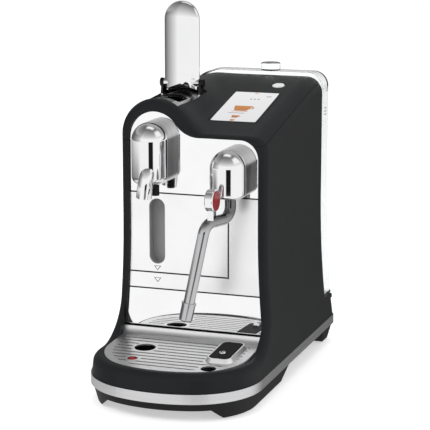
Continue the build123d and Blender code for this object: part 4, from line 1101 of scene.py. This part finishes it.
@dataclass
class CoffeeHead(SubAssembly):
    """Coffee head with its spout and the hot water nozzle."""

    centre_x: float = -44.5
    bottom: float = 237.0
    top: float = 306.5
    under_edge: float = 9.0
    horn_start: Place = (-40.4, -90.0, 254.5)
    horn_bend: Place = (-41.2, -100.8, 250.5)
    horn_end: Place = (-44.4, -98.2, 224.6)
    horn_radii: tuple[float, float] = (8.2, 9.0)
    horn_rings: int = 49
    horn_sides: int = 64
    bore_radius: float = 7.2
    bore_share: float = 0.7

    def horn(self) -> Mesh:
        """The horn that leads the coffee out of the head's front and down.

        Formula: a ring of points stands square to a quadratic curve from start to end that heads for
        the bend, and widens evenly towards the mouth; there it turns inwards and runs back up the
        bore, and both ends shrink to a point.

        Returns:
            Points in metres and faces.
        """
        outside = np.linspace(0.0, 1.0, self.horn_rings)
        share = np.concatenate([[0.0], outside, [1.0, self.bore_share, self.bore_share]])
        radius = np.interp(share, [0.0, 1.0], self.horn_radii)
        radius[[0, -1]] = 0.0
        radius[[-3, -2]] = self.bore_radius
        share = share[:, None]
        start, bend, end = np.array([self.horn_start, self.horn_bend, self.horn_end])
        middle = (1.0 - share) ** 2 * start + 2.0 * share * (1.0 - share) * bend + share**2 * end
        along = (1.0 - share) * (bend - start) + share * (end - bend)
        along = along / np.linalg.norm(along, axis=1, keepdims=True)
        side = np.array([1.0, 0.0, 0.0]) - along[:, :1] * along
        side = side / np.linalg.norm(side, axis=1, keepdims=True)
        front = np.cross(along, side)
        angle = np.linspace(0.0, 2.0 * np.pi, self.horn_sides, endpoint=False)[None, :, None]
        outward = np.cos(angle) * side[:, None] + np.sin(angle) * front[:, None]
        return ring_mesh(middle[:, None] + radius[:, None, None] * outward)

    def build(self) -> None:
        """Builds the head's shell and its horn and dresses the nozzle."""
        form = HeadForm(self.centre_x, self.bottom, self.top, self.under_edge)
        shell = self.add(
            "coffee_head_shell", form.shell(), Finishes.HEAD_CHROME, "machine", "bright_chrome"
        )
        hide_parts("coffee_head")
        # A black plate under the head: its dark underside, and painted shade for the shadow below it.
        self.add("coffee_head_underside_shade", form.underside_shade(), Finishes.BLACK_BASE, "machine", "black_shell")
        spout = self.add("coffee_horn", self.horn(), Finishes.BRIGHT_CHROME, "machine", "bright_chrome")
        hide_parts("coffee_spout")
        self.dress(Finishes.HEAD_CHROME, "coffee_head")
        self.dress(Finishes.BRIGHT_CHROME, "coffee_spout")
        self.dress(Finishes.BLACK_BASE, "hot_water_nozzle")


@dataclass
class SteamWand(SubAssembly):
    """Steam head and the tilting wand with its finger tab."""

    centre_x: float = 47.5
    bottom: float = 227.0
    top: float = 280.5
    under_edge: float = 6.0

    def build(self) -> None:
        """Builds the head's shell and dresses the wand."""
        form = HeadForm(self.centre_x, self.bottom, self.top, self.under_edge)
        shell = self.add(
            "steam_head_shell", form.shell(), Finishes.HEAD_CHROME, "machine", "bright_chrome"
        )
        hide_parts("steam_head")
        self.dress(Finishes.HEAD_CHROME, "steam_head")
        self.dress(Finishes.PLAIN_STEEL, "wand_pin")
        self.dress(Finishes.WAND_STEEL, "wand_pipe", "wand_tip")
        self.dress(Finishes.BRIGHT_CHROME, "wand_tab")
        self.dress(Finishes.RED_GLOSS, "wand_cap")


@dataclass
class DripTray(SubAssembly):
    """Drip tray, grille, level float and jug sensor."""

    def build(self) -> None:
        """Dresses the tray."""
        self.dress(Finishes.GRILLE_STEEL, "drip_grille")
        self.dress(Finishes.TRAY_PLASTIC, "drip_tray")
        self.dress(Finishes.FLOAT_RED, "level_float")
        self.dress(Finishes.PAD_BLACK, "sensor_pad")
        self.dress(Finishes.BRIGHT_CHROME, "sensor_button")


@dataclass
class LeverDeck(SubAssembly):
    """Capsule lever on its deck, and the brew chamber below."""

    def build(self) -> None:
        """Dresses the lever and the deck."""
        # The deck's near-black upper part is painted shade behind and under the lever.
        self.dress(Finishes.DECK_SILVER_AND_SHADE, "pod_deck")
        self.dress(Finishes.BRIGHT_CHROME, "capsule_lever")
        self.dress(Finishes.GLOSS_BLACK, "lever_pin")
        self.dress(Finishes.GREY_PLASTIC, "brew_chamber")
        self.dress(Finishes.PLAIN_STEEL, "brew_piston")
        self.dress(Finishes.SOFT_RUBBER, "piston_seal")


@dataclass(frozen=True)
class CupIcon:
    """Side view of a cup on the screen: its place, its width at the rim and its proportions."""

    name: str
    x: float
    y: float
    width: float
    height_to_width: float = 0.72
    foot_share: float = 0.56
    handle_out: float = 0.42
    handle_up: float = 0.62
    handle_radii: tuple[float, float] = (0.12, 0.21)
    handle_turn: float = 80.0
    bowl_points: tuple[int, int] = (13, 17)
    handle_points: tuple[int, int] = (3, 17)
    saucer_drop: float = 0.08
    saucer_width: float = 0.9
    saucer_height: float = 0.06

    def bowl(self) -> np.ndarray:
        """The cup's bowl.

        Formula: y rises evenly with v, and half the width grows from the foot's share of its full
        value to all of it at the rim, by the square root of v.

        Returns:
            Grid of points in millimetres.
        """
        columns, rows = self.bowl_points
        u, v = grid(np.linspace(-1, 1, columns), np.linspace(0, 1, rows))
        half = self.width / 2 * (self.foot_share + (1.0 - self.foot_share) * np.sqrt(v))
        return np.stack([self.x + u * half, self.y + v * self.width * self.height_to_width], axis=-1)

    def handle(self) -> np.ndarray:
        """The cup's handle.

        Formula: a part of a ring that opens to the left, with the radius between two values.

        Returns:
            Grid of points in millimetres.
        """
        inner, outer = self.handle_radii
        turn = math.radians(self.handle_turn)
        rings, steps = self.handle_points
        radius, angle = grid(np.linspace(inner, outer, rings), np.linspace(-turn, turn, steps))
        across = self.handle_out + radius * np.cos(angle)
        upward = self.handle_up * self.height_to_width + radius * np.sin(angle)
        return np.stack([self.x + self.width * across, self.y + self.width * upward], axis=-1)

    def saucer(self) -> np.ndarray:
        """The bar under the cup."""
        low = self.y - self.width * self.saucer_drop
        return round_bar(self.x, low, self.width * self.saucer_width, self.width * self.saucer_height)


@dataclass(frozen=True)
class ScreenBar:
    """A bar with round ends on the screen: its middle, its size and its finish."""

    name: str
    x: float
    y: float
    width: float
    height: float
    finish: Finishes = Finishes.SCREEN_MARK

    def shape(self) -> np.ndarray:
        """The bar's points on the screen."""
        return round_bar(self.x, self.y, self.width, self.height)


@dataclass
class Display(SubAssembly):
    """Touch screen on the sloping deck, its picture, and the power button."""

    centre: Place = (31.0, 31.0, 312.662)
    slope: float = 12.87
    width: float = 54.0
    length: float = 95.0
    corner_pull: float = 0.36
    corner_power: int = 8
    picture_points: int = 25
    glass_proud: float = 0.2
    picture_thickness: float = 0.04
    icon_thickness: float = 0.03
    cups: tuple[CupIcon, ...] = (
        CupIcon("large_cup", x=-2.0, y=-14.0, width=22.0),
        CupIcon("middle_cup", x=-2.0, y=-36.0, width=9.5),
        CupIcon("small_cup", x=-2.0, y=-46.0, width=5.5),
    )
    bars: tuple[ScreenBar, ...] = (
        ScreenBar("name_bar", x=-4.0, y=-21.5, width=20.0, height=1.6),
        ScreenBar("title_bar_a", x=-1.0, y=25.0, width=3.0, height=3.0),
        ScreenBar("title_bar_b", x=3.6, y=25.0, width=3.0, height=3.0),
        ScreenBar("title_bar_c", x=8.2, y=25.0, width=3.0, height=3.0),
        ScreenBar("menu_bar_a", x=18.0, y=33.5, width=6.5, height=1.0),
        ScreenBar("menu_bar_b", x=18.0, y=36.0, width=6.5, height=1.0),
        ScreenBar("top_tab", x=0.0, y=44.5, width=4.5, height=2.4, finish=Finishes.CUP_ORANGE),
    )

    def axes(self) -> np.ndarray:
        """The screen's own directions.

        Returns:
            Unit vectors across the screen, up the screen and out of it, one a row.
        """
        tilt = math.radians(self.slope)
        across = (1.0, 0.0, 0.0)
        upward = (0.0, math.cos(tilt), math.sin(tilt))
        outward = (0.0, -math.sin(tilt), math.cos(tilt))
        return np.array([across, upward, outward])

    def lay(self, name: str, flat: np.ndarray, lift: float, thickness: float, finish: Finishes) -> None:
        """Lays a flat shape on the screen.

        Args:
            name: the piece's name.
            flat: grid of points on the screen, in millimetres from its middle.
            lift: how far its foot stands out of the deck, in millimetres.
            thickness: its thickness in millimetres.
            finish: the lit finish.
        """
        axes = self.axes()
        corner = np.array(self.centre) + lift * axes[2]
        self.add(name, slab_mesh(flat, thickness, corner, axes), finish, "machine", "screen_glass")

    def picture(self) -> np.ndarray:
        """The lit field of the screen.

        Formula: x = half width * u and y = half length * v, drawn in near the corners by the pull
        times (u v) to an even power.

        Returns:
            Grid of points in millimetres.
        """
        share = np.linspace(-1, 1, self.picture_points)
        u, v = grid(share, share)
        pull = self.corner_pull * (u * v) ** self.corner_power
        x = u * self.width / 2 - np.sign(u) * pull
        y = v * self.length / 2 - np.sign(v) * pull
        return np.stack([x, y], axis=-1)

    def build(self) -> None:
        """Dresses the display and lays out the picture with three cups and plain bars."""
        self.dress(Finishes.SCREEN_GLASS, "display_glass")
        self.dress(Finishes.GREY_PLASTIC, "display_module")
        # Painted reflection: the chrome power button gets white plastic for the white that it reflects.
        self.dress(Finishes.POWER_BUTTON_PAINTED_REFLECTION, "power_button")
        lift = self.glass_proud
        self.lay("screen_picture", self.picture(), lift, self.picture_thickness, Finishes.SCREEN_WHITE)
        lift += self.picture_thickness
        for cup in self.cups:
            shapes = {"bowl": cup.bowl(), "handle": cup.handle(), "saucer": cup.saucer()}
            for part, flat in shapes.items():
                self.lay(f"{cup.name}_{part}", flat, lift, self.icon_thickness, Finishes.CUP_ORANGE)
        for bar in self.bars:
            self.lay(bar.name, bar.shape(), lift, self.icon_thickness, bar.finish)


@dataclass
class WaterTank(SubAssembly):
    """Clear tank with its lid, knob and valve, and the level marks on its side."""

    side_x: float = 86.8
    mark_y: float = 176.0
    mark_length: float = 9.0
    mark_height: float = 0.9
    mark_thickness: float = 0.05
    mark_levels: tuple[float, ...] = (287.0, 291.0, 295.0)

    def build(self) -> None:
        """Dresses the tank and adds the level marks."""
        self.dress(Finishes.CLEAR_PLASTIC, "water_tank", "tank_lid", "lid_knob")
        self.dress(Finishes.TRAY_PLASTIC, "tank_valve", "tank_socket")
        flat = round_bar(0.0, 0.0, self.mark_length, self.mark_height)
        for count, level in enumerate(self.mark_levels):
            corner = np.array([self.side_x, self.mark_y, level])
            mark = slab_mesh(flat, self.mark_thickness, corner, SIDE_AXES)
            self.add(f"level_mark_{count}", mark, Finishes.PRINT_GREY, "tank", "grey_plastic")


@dataclass
class InsideWorks(SubAssembly):
    """Frame, pump, heaters, board and pipework inside the housing."""

    def build(self) -> None:
        """Dresses the inside."""
        self.dress(Finishes.PLAIN_STEEL, "inner_frame", "steam_pipe")
        self.dress(Finishes.HEATER_METAL, "steam_boiler", "coffee_heater")
        self.dress(Finishes.GREY_PLASTIC, "water_pump")
        self.dress(Finishes.SOFT_RUBBER, "pump_mounts", "inlet_hose", "pump_hose")
        self.dress(Finishes.BOARD_GREEN, "control_board")


def add_stage(name: str, mesh: Mesh, material: bpy.types.Material) -> bpy.types.Object:
    """Adds a mesh that belongs to the studio.

    Args:
        name: its name.
        mesh: points in metres, and faces.
        material: its material.

    Returns:
        The new object.
    """
    thing = make_object(name, mesh, material)
    return thing


def rise(value: np.ndarray, span: Span) -> np.ndarray:
    """A smooth step.

    Formula: with s the share of the way through the span, held at 0 and 1, s squared times (3 - 2 s).

    Args:
        value: where to take the step's height.
        span: where the step starts and where it ends.

    Returns:
        A height from 0 to 1 for each value.
    """
    start, end = span
    share = np.clip((value - start) / (end - start), 0.0, 1.0)
    return share**2 * (3.0 - 2.0 * share)


def within(value: np.ndarray, window: Window) -> np.ndarray:
    """A mask that rises over the window's first span and falls again over its second."""
    opens, closes = window
    return rise(value, opens) * (1.0 - rise(value, closes))


def towards(level: np.ndarray | float, target: np.ndarray | float, share: np.ndarray) -> np.ndarray:
    """A level moved a share of the way towards another one."""
    return level + (target - level) * share


@dataclass(frozen=True)
class ReflectionTent:
    """A dome that only polished faces see.

    Azimuths are in degrees from the front towards the right, elevations in degrees above the
    dome's middle, and levels go from 0 for black to 1 for white.
    """

    radius: float = 0.9
    middle: float = 0.25
    turn_points: int = 241
    rise_points: int = 227
    lowest: float = -80.0
    darkest: float = 0.01
    horizon: Span = (-5.0, -1.0)
    low_left: Span = (35.0, 150.0)
    low_left_fall: float = 0.55
    flag_left: Span = (34.0, 60.0)
    flag_below: Window = ((4.0, 14.0), (25.0, 29.0))
    flag_fall: float = 0.8
    high_left_from: float = 30.0
    high_left_length: float = 36.0
    left_sky: Span = (14.0, 30.0)
    left_sky_level: float = 0.72
    right_rear: Span = (105.0, 160.0)
    right_rear_fall: float = 0.8
    sky_from: float = 13.0
    sky_length: float = 33.0
    rear_round: Span = (105.0, 150.0)
    rear_above: Span = (2.0, 10.0)
    rear_level: float = 0.42
    overhead_across: Span = (0.16, 0.40)
    overhead_forward: Window = ((-0.19, -0.05), (0.06, 0.32))
    overhead_above: Span = (40.0, 50.0)
    right_light_round: Window = ((50.0, 68.0), (98.0, 116.0))
    right_light_above: Window = ((18.0, 32.0), (48.0, 64.0))
    strip_round: Window = ((8.5, 11.5), (35.0, 38.0))
    strip_above: Window = ((-27.0, -23.0), (-2.5, -1.5))
    strip_change: Span = (-15.0, -12.0)
    strip_grey: float = 0.2
    strip_black: float = 0.012

    def surround(self, azimuth: np.ndarray, elevation: np.ndarray) -> np.ndarray:
        """The tent without its lights and its strip.

        Formula: white in front. Below the horizon it falls off towards the left, with a darker flag
        there; above it, it falls by an exponential curve, held up by a paler sky. It falls to
        dark towards the right rear and by an exponential curve towards the sky, and the upper
        rear is an even grey.

        Args:
            azimuth: azimuth of each direction.
            elevation: elevation of each direction.

        Returns:
            The level of each direction.
        """
        low = 1.0 - self.low_left_fall * rise(-azimuth, self.low_left)
        flag = rise(-azimuth, self.flag_left) * within(-elevation, self.flag_below)
        low = low * (1.0 - self.flag_fall * flag)
        high = np.exp(-np.maximum(-azimuth - self.high_left_from, 0.0) / self.high_left_length)
        high = np.maximum(high, self.left_sky_level * rise(elevation, self.left_sky))
        level = towards(low, high, rise(elevation, self.horizon))
        level = level - self.right_rear_fall * rise(azimuth, self.right_rear)
        level = level * np.exp(-np.maximum(elevation - self.sky_from, 0.0) / self.sky_length)
        rear = rise(np.abs(azimuth), self.rear_round) * rise(elevation, self.rear_above)
        return towards(level, self.rear_level, rear)

    def lights(self, azimuth: np.ndarray, elevation: np.ndarray) -> np.ndarray:
        """The two light squares: one overhead and one high on the right.

        Formula: each is a product of smooth steps, in the direction's parts across and forward for
        the first and in its two angles for the second.

        Args:
            azimuth: azimuth of each direction.
            elevation: elevation of each direction.

        Returns:
            A mask from 0 to 1 for each direction.
        """
        across = np.cos(np.radians(elevation)) * np.sin(np.radians(azimuth))
        forward = np.cos(np.radians(elevation)) * np.cos(np.radians(azimuth))
        overhead = (1.0 - rise(np.abs(across), self.overhead_across)) * rise(elevation, self.overhead_above)
        overhead = overhead * within(forward, self.overhead_forward)
        right = within(azimuth, self.right_light_round) * within(elevation, self.right_light_above)
        return np.maximum(overhead, right)

    def levels(self, azimuth: np.ndarray, elevation: np.ndarray) -> np.ndarray:
        """How light the tent is in each direction.

        Formula: the surround with the two lights in white, and over it an upright strip low on the
        camera's side, black in its upper part and grey below.

        Args:
            azimuth: azimuth of each direction.
            elevation: elevation of each direction.

        Returns:
            The level of each direction.
        """
        level = towards(self.surround(azimuth, elevation), 1.0, self.lights(azimuth, elevation))
        strip = within(azimuth, self.strip_round) * within(elevation, self.strip_above)
        strip_level = towards(self.strip_grey, self.strip_black, rise(elevation, self.strip_change))
        return np.clip(towards(level, strip_level, strip), self.darkest, 1.0)

    def build(self) -> None:
        """Adds the dome.

        Formula: a part of a sphere about the machine, with the azimuth as one parameter and the
        elevation as the other; each point carries the level of its direction.
        """
        wires = MaterialWiring("studio_tent")
        level = wires.node("ShaderNodeAttribute", attribute_name="level").outputs["Fac"]
        wires.show(wires.node("ShaderNodeEmission", {"Strength": level}))
        azimuth, elevation = grid(
            np.linspace(-180.0, 180.0, self.turn_points), np.linspace(self.lowest, 90.0, self.rise_points)
        )
        turn = np.radians(azimuth)
        lift = np.radians(elevation)
        ways = np.stack([np.cos(lift) * np.sin(turn), -np.cos(lift) * np.cos(turn), np.sin(lift)], axis=-1)
        points = np.array([0.0, 0.0, self.middle]) + self.radius * ways
        faces = grid_quads(self.turn_points, self.rise_points)
        tent = add_stage("studio_tent", (points.reshape(-1, 3), faces), wires.material)
        shade = tent.data.attributes.new("level", "FLOAT", "POINT")
        shade.data.foreach_set("value", self.levels(azimuth, elevation).ravel())
        tent.visible_camera = False
        tent.visible_diffuse = False
        tent.visible_shadow = False
        tent.visible_transmission = False


@dataclass(frozen=True)
class SoftLamp:
    """A soft square lamp: its place, its side in metres and its power in watts."""

    name: str
    place: Place
    size: float
    power: float

    def build(self, aim: Place) -> None:
        """Adds the lamp, which mirrors don't show.

        Args:
            aim: the place that it faces.
        """
        light = bpy.data.lights.new(self.name, "AREA")
        light.size = self.size
        light.energy = self.power
        lamp = bpy.data.objects.new(self.name, light)
        lamp.location = self.place
        lamp.rotation_mode = "QUATERNION"
        lamp.rotation_quaternion = (Vector(aim) - Vector(self.place)).to_track_quat("-Z", "Y")
        lamp.visible_glossy = False
        bpy.context.scene.collection.objects.link(lamp)


@dataclass
class Studio:
    """White studio: world, floor, soft lamps, a tent that the chrome reflects, and the camera."""

    ambient: float = 0.62
    floor_reach: float = 14.0
    floor_points: int = 9
    floor_z: float = -0.0004
    floor_colour: Colour = (0.8, 0.8, 0.8)
    floor_glow: float = 0.5
    lamp_aim: Place = (0.0, 0.0, 0.17)
    lamps: tuple[SoftLamp, ...] = (
        SoftLamp("key_lamp", place=(-1.3, -1.9, 2.4), size=1.4, power=32.0),
        SoftLamp("fill_lamp", place=(2.2, -1.4, 1.5), size=1.6, power=14.0),
        SoftLamp("top_lamp", place=(0.2, 0.9, 2.6), size=1.6, power=20.0),
    )
    camera_place: Place = (0.6278, -1.7791, 0.5763)
    camera_azimuth: float = 19.305
    camera_elevation: float = 11.61
    lens: float = 138.96
    sensor_width: float = 36.0
    clip_start: float = 0.05
    clip_end: float = 60.0

    @staticmethod
    def seen_directly(wires: Wiring) -> Socket:
        """A value of 1 where the camera, a mirror or clear plastic looks, and 0 for soft light.

        Args:
            wires: the wiring that gets the nodes.

        Returns:
            The socket with the value.
        """
        path = wires.node("ShaderNodeLightPath").outputs
        seen = wires.math("MAXIMUM", path["Is Camera Ray"], path["Is Glossy Ray"])
        return wires.math("MAXIMUM", seen, path["Is Transmission Ray"])

    def build_world(self) -> None:
        """White surroundings: strength 1 where they are seen, and a softer level for their light."""
        world = bpy.data.worlds.new("white_studio")
        world.use_nodes = True
        world.cycles.sampling_method = "NONE"
        bpy.context.scene.world = world
        wires = Wiring(world.node_tree)
        strength = wires.spread(self.seen_directly(wires), (0.0, 1.0), (self.ambient, 1.0))
        white = (1.0, 1.0, 1.0, 1.0)
        glow = wires.node("ShaderNodeBackground", {"Color": white, "Strength": strength})
        wires.node("ShaderNodeOutputWorld", {"Surface": glow.outputs[0]})

    def build_floor(self) -> None:
        """Pale floor that keeps the shadow and is white where nothing shades it.

        Formula: x and y run evenly over a square at one height.
        """
        wires = MaterialWiring("studio_floor")
        paint = wires.node("ShaderNodeBsdfDiffuse", {"Color": (*self.floor_colour, 1.0)})
        strength = wires.math("MULTIPLY", self.seen_directly(wires), self.floor_glow)
        glow = wires.node("ShaderNodeEmission", {"Strength": strength})
        wires.show(wires.node("ShaderNodeAddShader", {0: paint.outputs[0], 1: glow.outputs[0]}))
        side = np.linspace(-self.floor_reach, self.floor_reach, self.floor_points)
        x, y = grid(side, side)
        points = np.stack([x, y, np.full_like(x, self.floor_z)], axis=-1).reshape(-1, 3)
        faces = grid_quads(self.floor_points, self.floor_points)[:, ::-1]
        floor = add_stage("studio_floor", (points, faces), wires.material)
        floor.visible_glossy = False

    def build_camera(self) -> None:
        """Camera at the photograph's place, angle and lens."""
        optics = bpy.data.cameras.new("camera")
        optics.lens = self.lens
        optics.sensor_width = self.sensor_width
        optics.clip_start = self.clip_start
        optics.clip_end = self.clip_end
        camera = bpy.data.objects.new("camera", optics)
        turn = math.radians(self.camera_azimuth)
        lift = math.radians(self.camera_elevation)
        ahead = Vector((-math.sin(turn) * math.cos(lift), math.cos(turn) * math.cos(lift), -math.sin(lift)))
        camera.location = self.camera_place
        camera.rotation_mode = "QUATERNION"
        camera.rotation_quaternion = ahead.to_track_quat("-Z", "Y")
        bpy.context.scene.collection.objects.link(camera)
        bpy.context.scene.camera = camera

    def build(self) -> None:
        """Builds the studio."""
        bpy.context.scene.view_settings.view_transform = "Standard"
        self.build_world()
        self.build_floor()
        for lamp in self.lamps:
            lamp.build(self.lamp_aim)
        ReflectionTent().build()
        self.build_camera()


def clear_scene() -> None:
    """Removes everything that the start-up scene holds."""
    for thing in list(bpy.data.objects):
        bpy.data.objects.remove(thing)


def main() -> None:
    """Loads the frame, builds and dresses each sub-assembly, and sets up the studio."""
    logging.basicConfig(level=logging.INFO, format="%(name)s: %(message)s")
    clear_scene()
    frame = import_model()
    store = FinishStore()
    groups = (
        BaseAssembly,
        HousingAssembly,
        FrontAssembly,
        CoffeeHead,
        SteamWand,
        DripTray,
        LeverDeck,
        Display,
        WaterTank,
        InsideWorks,
    )
    for group in groups:
        LOG.info("building %s", group.__name__)
        group(store, frame["nodes"]).build()
    Studio().build()


if __name__ == "__main__":
    main()
